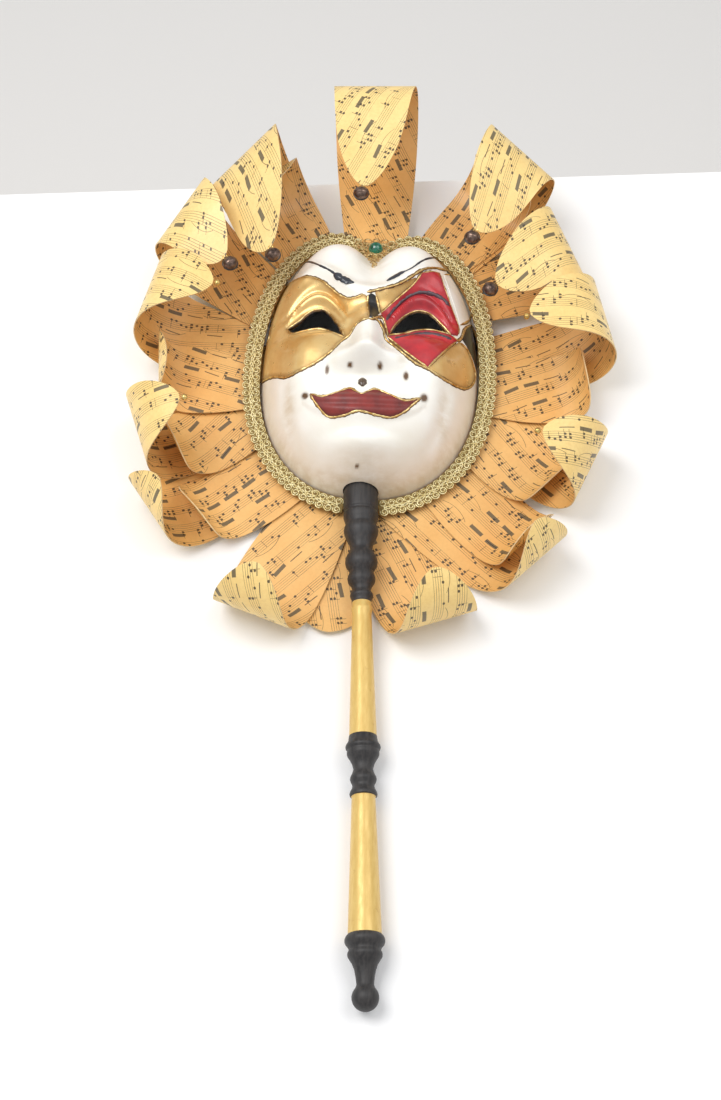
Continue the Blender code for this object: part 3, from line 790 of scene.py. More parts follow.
def cut_net(outline, holes, candidates, clear):
    """Triangles that fill an outline round its holes, through the candidate places."""
    borders = [np.asarray(outline)] + [np.asarray(hole) for hole in holes]
    marks = np.vstack(borders)
    candidates = candidates[inside_of(borders[0], candidates)]
    candidates = candidates[nearest(candidates, marks) > clear]
    edges = []
    first = 0
    for border in borders:
        count = len(border)
        edges += [(first + i, first + (i + 1) % count) for i in range(count)]
        first += count
    spots = [Vector(place) for place in np.vstack([marks, candidates])]
    points, _, triangles, _, _, _ = delaunay_2d_cdt(spots, edges, [], 0, 1e-8)
    flat = np.array([tuple(point) for point in points])
    triangles = np.array([tuple(item) for item in triangles])
    middles = flat[triangles].mean(axis=1)
    keep = inside_of(borders[0], middles)
    for hole in borders[1:]:
        keep &= ~inside_of(hole, middles)
    return flat, triangles[keep], marks


def walled_mesh(name, top, bottom, triangles, smooth_angle, numbers=(0, 0, 0)):
    """Two layers over the same triangles, closed along every free edge."""
    total = len(top)
    faces = [tuple(item) for item in triangles]
    faces += [(total + c, total + b, total + a) for a, b, c in triangles]
    whole = set()
    for a, b, c in triangles:
        whole.update(((a, b), (b, c), (c, a)))
    rims = [(b, a, total + a, total + b) for a, b in whole if (b, a) not in whole]
    faces += sorted(rims)
    mesh = bpy.data.meshes.new(name)
    mesh.from_pydata(np.vstack([top, bottom]).tolist(), [], [[int(i) for i in face] for face in faces])
    count = len(triangles)
    material = [numbers[0]] * count + [numbers[1]] * count + [numbers[2]] * len(rims)
    mesh.polygons.foreach_set("material_index", material)
    work = bmesh.new()
    work.from_mesh(mesh)
    loose = [vertex for vertex in work.verts if not vertex.link_faces]
    bmesh.ops.delete(work, geom=loose, context="VERTS")
    bmesh.ops.recalc_face_normals(work, faces=work.faces)
    work.to_mesh(mesh)
    work.free()
    mesh.shade_smooth()
    mesh.set_sharp_from_angle(angle=math.radians(smooth_angle))
    return mesh


def face_net():
    """An even square net drawn out to the face's outline."""
    line = np.linspace(-1.0, 1.0, FACE_STEPS + 1)
    u, v = np.meshgrid(line, line, indexing="ij")
    disc_x = u * np.sqrt(1.0 - v * v / 2.0)
    disc_y = v * np.sqrt(1.0 - u * u / 2.0)
    share = np.minimum(np.hypot(disc_x, disc_y), 1.0)
    angle = np.arctan2(disc_y, disc_x)
    slope = 2.0 / (1.0 + RIM_FROM)
    easing = slope / (2.0 * (1.0 - RIM_FROM))
    eased = np.where(share < RIM_FROM, slope * share, 1.0 - easing * (1.0 - share) ** 2)
    reach = outline_radius(angle) * eased
    inner = share.ravel() < 0.9999
    return np.stack([(reach * np.cos(angle)).ravel(), (reach * np.sin(angle)).ravel()], axis=1)[inner]


def socket_hole(steps=40):
    """Where the socket's round hole meets the chin, seen from above."""
    place = handle_matrix()
    radius = SOCKET_RADIUS + SOCKET_CLEARANCE
    outline = []
    for i in range(steps):
        angle = 2.0 * math.pi * i / steps
        side = place.to_3x3() @ Vector((radius * math.cos(angle), radius * math.sin(angle), 0.0))
        axis = place.to_3x3() @ Vector((0.0, 0.0, 1.0))
        reach = np.linspace(0.060, -0.040, 1200)
        trail = np.array(place.translation + side)[None, :] + np.array(axis)[None, :] * reach[:, None]
        share = np.hypot(trail[:, 0], trail[:, 1]) / outline_radius(np.arctan2(trail[:, 1], trail[:, 0]))
        under = (face_height(trail[:, 0], trail[:, 1]) > trail[:, 2]) & (share < 1.0)
        outline.append(trail[int(np.argmax(under)), :2])
    return np.array(outline)


def build_face(finishes):
    """The moulded shell: outer face, dark inside and rim, with its holes."""
    steps = 420
    angles = np.arange(steps) * 2.0 * math.pi / steps
    reach = outline_radius(angles)
    outline = np.stack([reach * np.cos(angles), reach * np.sin(angles)], axis=1)
    holes = [eye_hole(EYE_TOP_LEFT, EYE_LOW_LEFT), eye_hole(EYE_TOP_RIGHT, EYE_LOW_RIGHT), socket_hole()]
    flat, triangles, _ = cut_net(outline, holes, face_net(), 0.00035)
    height = face_height(flat[:, 0], flat[:, 1])
    rim = nearest(flat, outline) < 1e-6
    height[rim] = 0.0
    top = np.column_stack([flat, height])
    net = bpy.data.meshes.new("net")
    net.from_pydata(top.tolist(), [], triangles.tolist())
    normals = np.zeros(len(top) * 3)
    net.vertices.foreach_get("normal", normals)
    normals = normals.reshape(-1, 3)
    normals *= np.where(normals[:, 2:] < 0.0, -1.0, 1.0)
    bpy.data.meshes.remove(net)
    level = top[rim] * (1.0, 1.0, 0.0)
    normals[rim] = level / np.linalg.norm(level, axis=1, keepdims=True)
    bottom = top - normals * SHELL_WALL
    bottom[:, 2] = np.maximum(bottom[:, 2], 0.0)
    mesh = walled_mesh("painted_mask", top, bottom, triangles, 50.0, (0, 1, 2))
    shade_and_stain_face(mesh)
    materials = [finishes["white"], finishes["inner"], finishes["dark_edge"]]
    return add_piece("painted_mask", mesh, materials, ("mask_shell",))


NOSTRIL_LEFT = (350, 365)
NOSTRIL_RIGHT = (380, 366)
WING_MARK_LEFT = (327, 370)
WING_MARK_RIGHT = (406, 376)
LIP_CORNER_LEFT = (305, 396)
LIP_CORNER_RIGHT = (424, 398)
CHIN_SPOT = (357, 466)


def shade_and_stain_face(mesh):
    """How brown the white paint is: painted shade in the hollows and towards the rim, and dark small spots.
    """
    place = np.zeros(len(mesh.vertices) * 3)
    mesh.vertices.foreach_get("co", place)
    place = place.reshape(-1, 3)
    x = place[:, 0]
    y = place[:, 1]
    hollow_and_rim_shade = np.zeros(len(x))
    # Painted shade, brown in the hollows: under the chin, in the smile creases, in the frown and beside the
    # nose, and towards the rim.
    hollow_and_rim_shade += 0.4 * swell(x, y, 0.0, -0.100, 0.030, 0.010)
    hollow_and_rim_shade += 0.55 * swell(np.abs(x), y, 0.058, -0.055, 0.005, 0.020)
    hollow_and_rim_shade += 0.5 * swell(x, y, 0.0, 0.090, 0.012, 0.020)
    hollow_and_rim_shade += 0.4 * swell(np.abs(x), y, 0.026, -0.020, 0.005, 0.012)
    hollow_and_rim_shade += 0.5 * smooth_step((np.hypot(x, y) / outline_radius(np.arctan2(y, x)) - 0.93) / 0.07)
    spots = np.zeros(len(x))
    marks = (
        (NOSTRIL_LEFT, 0.0021, 0.0024),
        (NOSTRIL_RIGHT, 0.0020, 0.0034),
        (WING_MARK_LEFT, 0.0016, 0.0036),
        (WING_MARK_RIGHT, 0.0020, 0.0034),
        (LIP_CORNER_LEFT, 0.0032, 0.0026),
        (LIP_CORNER_RIGHT, 0.0030, 0.0032),
        (CHIN_SPOT, 0.0014, 0.0018),
    )
    centres = on_face([mark[0] for mark in marks])
    for (_, wide, high), (centre_x, centre_y) in zip(marks, centres):
        rise = place[:, 2] - float(face_height(np.array(centre_x), np.array(centre_y)))
        away = ((x - centre_x) / wide) ** 2 + ((y - centre_y) ** 2 + rise ** 2) / high ** 2
        spots += 2.8 * np.exp(-1.9 * away)
    for name, values in (("hollow_and_rim_shade", hollow_and_rim_shade), ("spots", spots)):
        layer = mesh.attributes.new(name, "FLOAT", "POINT")
        layer.data.foreach_set("value", np.clip(values, 0.0, 1.0))


PAINT_THICKNESS = 0.00022
PAINT_SUNK = 0.00060
PAINT_LIFT = 0.00035
PAINT_STEP = 0.0014
LIP_STEP = 0.0007


def eye_hole(upper, lower):
    """Outline of an eye opening on the face, from its two arcs in the photograph."""
    arcs = list(flowing(upper, 1.4)[:-1]) + list(flowing(tuple(reversed(lower)), 1.4)[:-1])
    return on_face(arcs)


def paint_area(name, strokes, material, lift=0.0, shade=0.0030, holes=(), step=PAINT_STEP):
    """A flat of paint on the face, bounded by smooth strokes given in the photograph's pixels."""
    outline = []
    for stroke in strokes:
        outline.extend(flowing(stroke, 1.2)[:-1])
    places = on_face(outline)
    low = places.min(axis=0)
    high = places.max(axis=0)
    grid_x, grid_y = np.meshgrid(np.arange(low[0], high[0], step), np.arange(low[1], high[1], step))
    candidates = np.stack([grid_x.ravel(), grid_y.ravel()], axis=1)
    flat, triangles, marks = cut_net(places, holes, candidates, step * 0.45)
    base = np.column_stack([flat, face_height(flat[:, 0], flat[:, 1])])
    normal = face_normal(flat[:, 0], flat[:, 1])
    top = base + normal * (PAINT_THICKNESS + lift)
    below = base - normal * PAINT_SUNK
    top[:, 2] = np.maximum(top[:, 2], 0.0)
    below[:, 2] = np.maximum(below[:, 2], 0.0)
    mesh = walled_mesh(name, top, below, triangles, 60.0)
    # Painted shade: the paint darkens within the shade width of its outline, beside the raised lines that
    # border it.
    shade_places = np.zeros(len(mesh.vertices) * 3)
    mesh.vertices.foreach_get("co", shade_places)
    distance = nearest(shade_places.reshape(-1, 3)[:, :2], marks)
    layer = mesh.attributes.new("edge", "FLOAT", "POINT")
    layer.data.foreach_set("value", np.clip(1.0 - distance / shade, 0.0, 1.0) ** 1.5 * 0.85)
    return add_piece(name, mesh, [material])


def relief_line(name, strokes, width, rise, material, taper=4.0, lift=0.0):
    """Lines squeezed on the face like icing: a half-round thread that thins out at its ends."""
    meshes = []
    sides = 8
    for number, stroke in enumerate(strokes):
        places = on_face(flowing(stroke, 0.9))
        x = places[:, 0]
        y = places[:, 1]
        centre = np.column_stack([x, y, face_height(x, y)])
        normal = face_normal(x, y)
        ahead = np.gradient(centre, axis=0)
        ahead /= np.maximum(np.linalg.norm(ahead, axis=1, keepdims=True), 1e-9)
        side = np.cross(ahead, normal)
        side /= np.maximum(np.linalg.norm(side, axis=1, keepdims=True), 1e-9)
        count = len(centre)
        run = np.arange(count)
        ends = np.minimum(run, count - 1 - run) / max(taper, 1e-6)
        thin = np.clip(0.35 + 0.65 * ends, 0.35, 1.0)
        wobble = 1.0 + 0.14 * np.sin(run * 0.55 + number * 2.1) + 0.10 * np.sin(run * 1.31 + number)
        rings = []
        for i in range(sides):
            turn = 2.0 * math.pi * i / sides
            out = math.cos(turn) * width / 2.0 * thin * wobble
            high = np.where(math.sin(turn) > 0.0, math.sin(turn) * rise, math.sin(turn) * PAINT_SUNK)
            up = high * thin + lift
            rings.append(centre + side * out[:, None] + normal * np.broadcast_to(up, out.shape)[:, None])
        points = np.stack(rings, axis=1).reshape(-1, 3)
        points[:, 2] = np.maximum(points[:, 2], 0.0)
        faces = []
        for i in range(count - 1):
            for j in range(sides):
                k = (j + 1) % sides
                faces.append((i * sides + j, i * sides + k, (i + 1) * sides + k, (i + 1) * sides + j))
        faces.append(tuple(range(sides)))
        faces.append(tuple(range((count - 1) * sides, count * sides)))
        meshes.append(mesh_from(name, points, faces, 75.0))
    return add_piece(name, joined(meshes, name), [material])


# Lines of the painted face, in the photograph's pixels
BROW_LEFT = ((292, 272), (297, 268), (304, 263.5), (310, 262), (321, 266), (331, 271), (340, 278))
BROW_LEFT_DROP = ((334, 273.5), (339, 277), (344, 279.5), (349, 281.5), (354, 282.5))
BROW_RIGHT = ((447, 264), (440, 259.5), (431, 258), (422, 261), (412, 268), (402, 273))
BROW_RIGHT_DROP = ((405, 271), (400, 274), (394, 277.5), (387, 281))
LEFT_TOP = ((275, 307), (276, 304), (280.5, 293), (290, 284), (301, 278), (310, 277), (322, 281))
LEFT_TOP_INNER = ((322, 281), (330, 287), (340, 295), (349, 298.5), (357, 297), (363, 294))
LEFT_BRIDGE = ((363, 294), (366.5, 296), (367.5, 305), (369, 318))
LEFT_LOW = (
    (369, 318), (360, 321.5), (354, 328), (349, 336), (339, 343), (330, 352.5), (315, 363),
    (299, 371), (287, 377),
)
LEFT_LOW_OUTER = ((287, 377), (279, 377), (271, 377.5), (261, 383))
LEFT_SIDE = ((261, 383), (259, 375), (262, 355), (269, 340), (272.5, 320), (275, 307))
RIGHT_TOP = (
    (367, 292), (381, 289), (398, 284), (410.5, 277), (422, 270), (433.5, 268), (447, 271),
    (459, 278),
)
BRIDGE_BLACK_LEFT = ((369, 317), (367.5, 305), (368, 295))
BRIDGE_BLACK_TOP = ((368, 295), (372, 293.5), (376, 296))
BRIDGE_BLACK_RIGHT = ((376, 296), (378, 304), (379.5, 313.5))
BRIDGE_BLACK_LOW = ((379.5, 313.5), (375, 317), (369, 317))
BRIDGE_GOLD_TOP = ((376, 296), (377, 291), (398, 285), (415, 277.5))
BRIDGE_GOLD_LOW = ((415, 277.5), (417, 279.5), (410.5, 287), (399, 297), (390, 305), (381, 313.5))
DIAMOND_LEFT = ((422, 273), (416, 281), (410.5, 287), (399, 297), (390, 305), (381, 313.5))
DIAMOND_TOP = ((422, 273), (431, 272), (439, 273.5))
DIAMOND_RIGHT = ((439, 273.5), (445, 290.5), (451, 308), (458, 327), (457, 336))
EYE_TOP_RIGHT = (
    (389, 335), (392, 329), (398, 321.5), (406, 315), (417, 311), (429, 313.5), (440, 323), (451, 335),
)
EYE_LOW_RIGHT = ((389, 335), (402.5, 334), (415, 331), (429, 330), (440, 332), (451, 335))
EYE_TOP_LEFT = (
    (287, 329.5), (299, 321.5), (308, 313.5), (317, 309.5), (325, 310), (333, 317), (340, 327),
    (345, 337.6),
)
EYE_LOW_LEFT = ((287, 329.5), (292, 334), (305, 331), (319.5, 329), (333, 333), (345, 337.6))
LOZENGE_LEFT = ((444, 275), (449, 290), (455, 308), (460, 325))
LOZENGE_RIGHT = ((460, 325), (469, 320), (471.5, 310), (468, 300), (461, 286), (452, 276), (444, 275))
TRIANGLE_LEFT = ((387, 336.5), (402, 349), (414, 358), (427.7, 367.5))
TRIANGLE_RIGHT = ((427.7, 367.5), (437, 358), (447, 349), (457, 341))
TRIANGLE_TOP = (
    (457, 341), (451, 335.8), (440, 332.6), (429, 330.8), (415, 331.8), (402, 334.6), (387, 336.5),
)
CHEEK_BAND = ((393, 339), (404, 336.5), (416, 334.3), (429, 333.6), (441, 335.6), (453, 340))
DROP_LEFT = ((459, 342), (447, 349), (437, 358), (427.7, 367.5))
DROP_RIGHT = ((459, 342), (467, 350), (472.5, 364), (475, 375.5), (473, 386))
DROP_LOW = ((430, 372), (439, 376), (449.5, 382), (463, 388), (473, 386))
SIDE_BLACK_LEFT = ((461, 338), (468, 349), (473, 360), (476.5, 371))
SIDE_BLACK_RIGHT = ((476.5, 371), (478, 352.5), (476, 338), (471, 325))
SIDE_BLACK_TOP = ((471, 325), (465, 329), (461, 338))
LOW_RIGHT = (
    (372.6, 317), (378, 321), (383, 330), (386, 340), (394, 346), (406, 356), (417, 364),
    (428, 369), (447, 381), (461, 388), (470, 387), (475, 379),
)
INNER_RIGHT = ((376, 317), (383, 319), (386, 328), (388, 337))
LOW_SHADE = ((380, 319.5), (386, 332), (391, 340.5), (400, 348.5), (411.5, 357), (421, 363.5))
BRIDGE_GOLD_SIDE = ((381, 313.5), (378.5, 304), (376, 296))
LID_OUTER = ((457, 336), (451, 335))
LID_INNER = ((389, 335), (385, 325), (381, 313.5))
SIDE_KNOT = ((453, 336), (457, 340.5), (460.5, 339), (465, 331))
BRIDGE_KNOT = ((368, 318), (372, 319), (377, 317.5), (382, 315))
LID_CREASE = ((386, 321), (394, 309), (406, 298), (420, 292.5), (433.5, 294.5), (443, 300), (449, 307))
LIP_TOP = (
    (310, 394), (322, 396.5), (334, 393.5), (349, 388.5), (355, 391), (361.5, 394), (368, 391.5),
    (376, 389.5), (390, 395), (405, 400.5), (421, 398),
)
LIP_LOW = (
    (421, 398), (413, 404), (405, 411), (392, 417), (378, 415), (358.5, 410.5), (344, 415),
    (329, 416.5), (319, 407), (310, 394),
)
PHILTRUM = ((362.5, 378), (362.5, 386.5))


def mirrored(stroke):
    return tuple(reversed(stroke))


def paint_face(finishes):
    """All colours, gold outlines and brow strokes of the face."""
    gold = finishes["gold_leaf"]
    red = finishes["red"]
    black = finishes["black"]
    left_gold = (LEFT_TOP, LEFT_TOP_INNER, LEFT_BRIDGE, LEFT_LOW, LEFT_LOW_OUTER, LEFT_SIDE)
    left_eye = eye_hole(EYE_TOP_LEFT, EYE_LOW_LEFT)
    paint_area("gold_brow_and_cheek", left_gold, gold, PAINT_LIFT, holes=(left_eye,))
    bridge_black = (BRIDGE_BLACK_LEFT, BRIDGE_BLACK_TOP, BRIDGE_BLACK_RIGHT, BRIDGE_BLACK_LOW)
    paint_area("bridge_black", bridge_black, black)
    paint_area("bridge_gold", (BRIDGE_GOLD_TOP, BRIDGE_GOLD_LOW, BRIDGE_GOLD_SIDE), gold)
    lid_top = (DIAMOND_TOP, DIAMOND_RIGHT, LID_OUTER)
    lid_low = (mirrored(EYE_TOP_RIGHT), LID_INNER, mirrored(DIAMOND_LEFT))
    paint_area("red_lid", lid_top + lid_low, red, PAINT_LIFT * 2.0)
    paint_area("white_lozenge", (LOZENGE_LEFT, LOZENGE_RIGHT), finishes["white"], 0.0001)
    paint_area("red_cheek", (TRIANGLE_LEFT, TRIANGLE_RIGHT, TRIANGLE_TOP), red, PAINT_LIFT)
    paint_area("gold_drop", (mirrored(DROP_LEFT), DROP_RIGHT, mirrored(DROP_LOW)), gold)
    paint_area("side_black", (SIDE_BLACK_LEFT, SIDE_BLACK_RIGHT, SIDE_BLACK_TOP), black)
    paint_area("lips", (LIP_TOP, LIP_LOW), finishes["lips"], PAINT_LIFT, step=LIP_STEP)
    outlines = (
        LEFT_TOP + LEFT_TOP_INNER[1:],
        LEFT_LOW + LEFT_LOW_OUTER[1:],
        LEFT_SIDE, RIGHT_TOP, BRIDGE_BLACK_LEFT, BRIDGE_BLACK_RIGHT,
        DIAMOND_LEFT, DIAMOND_TOP, DIAMOND_RIGHT,
        EYE_TOP_RIGHT, EYE_LOW_RIGHT, LOZENGE_RIGHT,
        TRIANGLE_LEFT, TRIANGLE_RIGHT, DROP_RIGHT, LOW_RIGHT,
        SIDE_KNOT, BRIDGE_KNOT,
        INNER_RIGHT, SIDE_BLACK_TOP, SIDE_BLACK_RIGHT,
        LIP_TOP, LIP_LOW,
        EYE_TOP_LEFT, EYE_LOW_LEFT,
    )
    relief_line("outline_shadows", outlines, 0.0030, 0.00035, finishes["dark_edge"])
    relief_line("low_shade", (LOW_SHADE,), 0.0036, 0.0004, finishes["dark_edge"])
    relief_line("gold_outlines", outlines, 0.0017, 0.0011, finishes["gold_line"])
    # Grey-violet bands along the lid fold and along the fold under the eye: painted shade in these creases.
    relief_line("lid_crease", (LID_CREASE,), 0.0034, 0.0010, finishes["crease"], lift=PAINT_LIFT * 2.0)
    relief_line("cheek_band", (CHEEK_BAND,), 0.0034, 0.0009, finishes["crease"])
    relief_line("brow_lines", (BROW_LEFT, BROW_RIGHT), 0.0018, 0.0007, finishes["brow"])
    relief_line("brow_drops", (BROW_LEFT_DROP, BROW_RIGHT_DROP), 0.0058, 0.0015, finishes["brow"], 4.0)
    relief_line("philtrum_spot", (PHILTRUM,), 0.0062, 0.0020, finishes["spot"], 2.6)


# Card strips


def layer_height(layer):
    """How high a card layer lies above the table."""
    return LOWEST_LAYER + layer * (CARD_THICKNESS + LAYER_GAP)


# One strip: name, clock angle at its root, lean of its direction, skew of its length against the
# roll, flat run before the roll, roll radius, cone of the roll, turn, whole length, layer.
LOOPS = [
    ("loop_01_top", 90, 0, 2, 0.096, 0.036, -0.02, 190, 0.283, 13),
    ("loop_02", 65, -6, -6, 0.061, 0.035, 0.15, 190, 0.232, 9),
    ("loop_03", 47, -16, -8, 0.049, 0.030, 0.12, 190, 0.190, 8),
    ("loop_04", 12, 2, 0, 0.058, 0.035, 0.0, 190, 0.195, 6),
    ("loop_05", -21, -2, -8, 0.059, 0.036, 0.0, 190, 0.176, 4),
    ("loop_06", -69, 25, 10, 0.070, 0.037, 0.0, 190, 0.162, 2),
    ("loop_07", -85, 15, 5, 0.079, 0.034, 0.0, 190, 0.175, 1),
    ("loop_08", -96, 0, 0, 0.085, 0.036, 0.0, 14, 0.104, 0),
    ("loop_09", -106, -4, -3, 0.082, 0.035, 0.0, 190, 0.178, 2),
    ("loop_10", -134, -11, -1, 0.070, 0.035, 0.0, 190, 0.156, 3),
    ("loop_11", -160, 0, 4, 0.056, 0.036, 0.0, 190, 0.168, 5),
    ("loop_12", 169, -2, -5, 0.054, 0.035, 0.0, 190, 0.183, 8),
    ("loop_13", 140, -4, 6, 0.057, 0.034, -0.20, 190, 0.198, 9),
    ("loop_14", 116, 1, 9, 0.044, 0.036, -0.25, 190, 0.224, 10),
]
CURLS = [
    ("curl_01", 66, -8, -6, 0.046, 0.027, 0.15, 150, 0.129, 10),
    ("curl_02", -2, 12, -7, 0.050, 0.025, 0.0, 150, 0.095, 7),
    ("curl_03", -28, -14, 8, 0.046, 0.026, 0.0, 130, 0.080, 5),
    ("curl_04", -54, 12, 0, 0.055, 0.028, 0.0, 130, 0.108, 3),
    ("curl_05", -126, -14, -7, 0.050, 0.024, 0.0, 130, 0.088, 4),
    ("curl_06", -157, 6, 0, 0.040, 0.028, 0.0, 140, 0.088, 6),
    ("curl_07", 184, 1, -6, 0.050, 0.021, 0.0, 160, 0.101, 9),
    ("curl_08", 115, 0, 8, 0.036, 0.025, -0.2, 150, 0.116, 11),
]


def roll_place(run, low, base, radius, turn):
    """Outward distance and height along a strip that runs out flat and then rolls up."""
    if run <= base:
        return run, low - FALL_TO_TABLE * smooth_step(run / base)
    bend = min((run - base) / radius, math.radians(turn))
    beyond = run - base - bend * radius
    out = base + radius * math.sin(bend) + beyond * math.cos(bend)
    up = low - FALL_TO_TABLE + radius * (1.0 - math.cos(bend)) + beyond * math.sin(bend)
    return out, up


def strip_width(share, root, middle, tip):
    """Width along a strip: it widens to its middle and narrows to a rounded tip."""
    peak = 0.5
    round_from = 0.8
    if share < peak:
        width = root + (middle - root) * math.sin(math.pi / 2.0 * share / peak)
    else:
        width = middle + (tip - middle) * ((share - peak) / (1.0 - peak)) ** 1.8
    if share > round_from:
        width *= math.sqrt(max(1.0 - ((share - round_from) / (1.0 - round_from)) ** 2.4, 0.02))
    return width


def strip_point(row, across, run):
    """A place on a strip: run along its length, across its width."""
    _, clock, lean, skew, base, radius, cone, turn, _, layer = row
    root_angle = math.radians(clock)
    heading = math.radians(clock + lean)
    outward = Vector((math.cos(heading), math.sin(heading), 0.0))
    sideways = Vector((-math.sin(heading), math.cos(heading), 0.0))
    slant = math.radians(skew)
    along = run * math.cos(slant) - across * math.sin(slant)
    aside = run * math.sin(slant) + across * math.cos(slant)
    wide = radius * (1.0 + cone * across / (LOOP_WIDTHS[1] / 2.0))
    out, up = roll_place(along, layer_height(layer), base, wide, turn)
    place = outline_point(root_angle, ROOT_MARGIN) + outward * out + sideways * aside
    place.z = up
    return place


def root_run(row, across):
    """Where a strip starts, so that its end follows the mask's wall with a small gap."""
    run = 0.012
    step = 0.0005
    while run > -0.030:
        place = strip_point(row, across, run)
        wall = float(outline_radius(np.array(math.atan2(place.y, place.x)), WALL_GAP))
        if math.hypot(place.x, place.y) < wall:
            return run + step
        run -= step
    return run


def build_strip(number, row, widths, materials):
    """One card strip with its two printed sides and its edge."""
    name, length = row[0], row[8]
    spans = [2.0 * j / STRIP_SPANS - 1.0 for j in range(STRIP_SPANS + 1)]
    starts = [root_run(row, span * widths[0] / 2.0) for span in spans]
    points = []
    prints = []
    sheet_turn = math.radians(((number * 37) % 50) - 25.0)
    cos_turn, sin_turn = math.cos(sheet_turn), math.sin(sheet_turn)
    for i in range(STRIP_STEPS + 1):
        share = i / STRIP_STEPS
        width = strip_width(share, *widths)
        for span, start in zip(spans, starts):
            run = start * (1.0 - share) + length * share
            across = span * width / 2.0
            points.append(strip_point(row, across, run))
            prints.append((run * cos_turn - across * sin_turn, run * sin_turn + across * cos_turn))
    side = STRIP_SPANS + 1
    faces = []
    for i in range(STRIP_STEPS):
        for j in range(STRIP_SPANS):
            a = i * side + j
            faces.append((a, a + side, a + side + 1, a + 1))
    mesh = bpy.data.meshes.new(name)
    mesh.from_pydata([tuple(point) for point in points], [], faces)
    layer = mesh.uv_layers.new(name="print")
    for loop in mesh.loops:
        u, v = prints[loop.vertex_index]
        layer.data[loop.index].uv = (u + number * 0.071, v + number * 0.053)
    card = loose_object(name, mesh)
    for material in materials:
        mesh.materials.append(material)
    wall = card.modifiers.new("wall", "SOLIDIFY")
    wall.thickness = CARD_THICKNESS
    wall.offset = 0.0
    wall.material_offset = 1
    wall.material_offset_rim = 2
    whole = settled(card)
    whole.shade_smooth()
    whole.set_sharp_from_angle(angle=math.radians(40))
    return add_piece("card_" + name, whole, materials, (name,))


# Braid


def braid_height(angle):
    """The braid rides on the highest card layer under it."""
    lowest = layer_height(BRAID_LOW_LAYER) + CARD_THICKNESS
    highest = layer_height(BRAID_HIGH_LAYER) + CARD_THICKNESS
    share = smooth_step(0.5 + 0.5 * math.sin(angle) + 0.28)
    return lowest + (highest - lowest) * share + BRAID_REST_GAP


SCROLL_PITCH = 0.0066
SCROLL_RADIUS = 0.0033
SCROLL_SHIFT = 0.0036
CORD_RADIUS = 0.00050
PLAIT_SWING = 0.0011
PLAIT_RISE = 0.0004
PLAIT_STEP = 0.0007
SCROLL_TURNS = 1.55


def braid_ends():
    """Angles of the braid's two ends, on either side of the handle's socket."""
    reach = float(outline_radius(np.array(-math.pi / 2.0), BRAID_FACE_GAP + BRAID_WIDTH / 2.0))
    axis = handle_matrix() @ Vector((0.0, 0.0, HANDLE_DEPTH_IN_CHIN + BRAID_WIDTH / 2.0))
    middle = math.atan2(axis.y, axis.x)
    half = math.asin((SOCKET_RADIUS + BRAID_END_GAP) / reach)
    return middle + half, middle - half + 2.0 * math.pi


def braid_angles(steps):
    """Even angles from one end of the braid to the other."""
    first, last = braid_ends()
    return [first + (last - first) * i / steps for i in range(steps + 1)]


def braid_path():
    """The line along the braid's middle that its cords follow."""
    points = []
    for angle in braid_angles(360)[2:-2]:
        place = outline_point(angle, BRAID_FACE_GAP + BRAID_WIDTH / 2.0)
        place.z = braid_height(angle) + BRAID_THICKNESS * 0.45
        points.append(place)
    mesh = bpy.data.meshes.new("braid_path")
    mesh.from_pydata(points, [(i, i + 1) for i in range(len(points) - 1)], [])
    return mesh


class Tree:
    """A geometry node tree with named inputs and short ways to lay its nodes."""

    def __init__(self, name, sizes):
        self.group = bpy.data.node_groups.new(name, "GeometryNodeTree")
        face = self.group.interface
        face.new_socket("Geometry", in_out="INPUT", socket_type="NodeSocketGeometry")
        face.new_socket("Geometry", in_out="OUTPUT", socket_type="NodeSocketGeometry")
        self.sizes = sizes
        for size in sizes:
            face.new_socket(size, in_out="INPUT", socket_type="NodeSocketFloat")
        face.new_socket("Finish", in_out="INPUT", socket_type="NodeSocketMaterial")
        self.start = self.group.nodes.new("NodeGroupInput")
        self.end = self.group.nodes.new("NodeGroupOutput")

    def node(self, kind, inputs=None, **settings):
        made = self.group.nodes.new(kind)
        for key, value in settings.items():
            setattr(made, key, value)
        for key, value in (inputs or {}).items():
            if isinstance(value, bpy.types.NodeSocket):
                self.group.links.new(value, made.inputs[key])
            else:
                made.inputs[key].default_value = value
        return made

    def size(self, name):
        return self.start.outputs[name]

    def sum(self, operation, first, second=0.0):
        return self.node("ShaderNodeMath", {0: first, 1: second}, operation=operation).outputs[0]

    def vectors(self, operation, inputs):
        return self.node("ShaderNodeVectorMath", inputs, operation=operation).outputs[0]

    def vector(self, x=0.0, y=0.0, z=0.0):
        return self.node("ShaderNodeCombineXYZ", {0: x, 1: y, 2: z}).outputs[0]

    def finish(self, *parts):
        whole = self.node("GeometryNodeJoinGeometry")
        for part in parts:
            self.group.links.new(part, whole.inputs[0])
        real = self.node("GeometryNodeRealizeInstances", {0: whole.outputs[0]})
        inputs = {"Geometry": real.outputs[0], "Material": self.size("Finish")}
        painted = self.node("GeometryNodeSetMaterial", inputs)
        smooth = self.node("GeometryNodeSetShadeSmooth", {"Geometry": painted.outputs[0]})
        self.group.links.new(smooth.outputs[0], self.end.inputs[0])

    def made_on(self, mesh, values, material):
        """The tree's result on a mesh, as a plain mesh."""
        item = loose_object(self.group.name, mesh)
        change = item.modifiers.new(self.group.name, "NODES")
        change.node_group = self.group
        for entry in self.group.interface.items_tree:
            if entry.in_out != "INPUT":
                continue
            if entry.name in values:
                change[entry.identifier] = values[entry.name]
            elif entry.name == "Finish":
                change[entry.identifier] = material
        return settled(item)


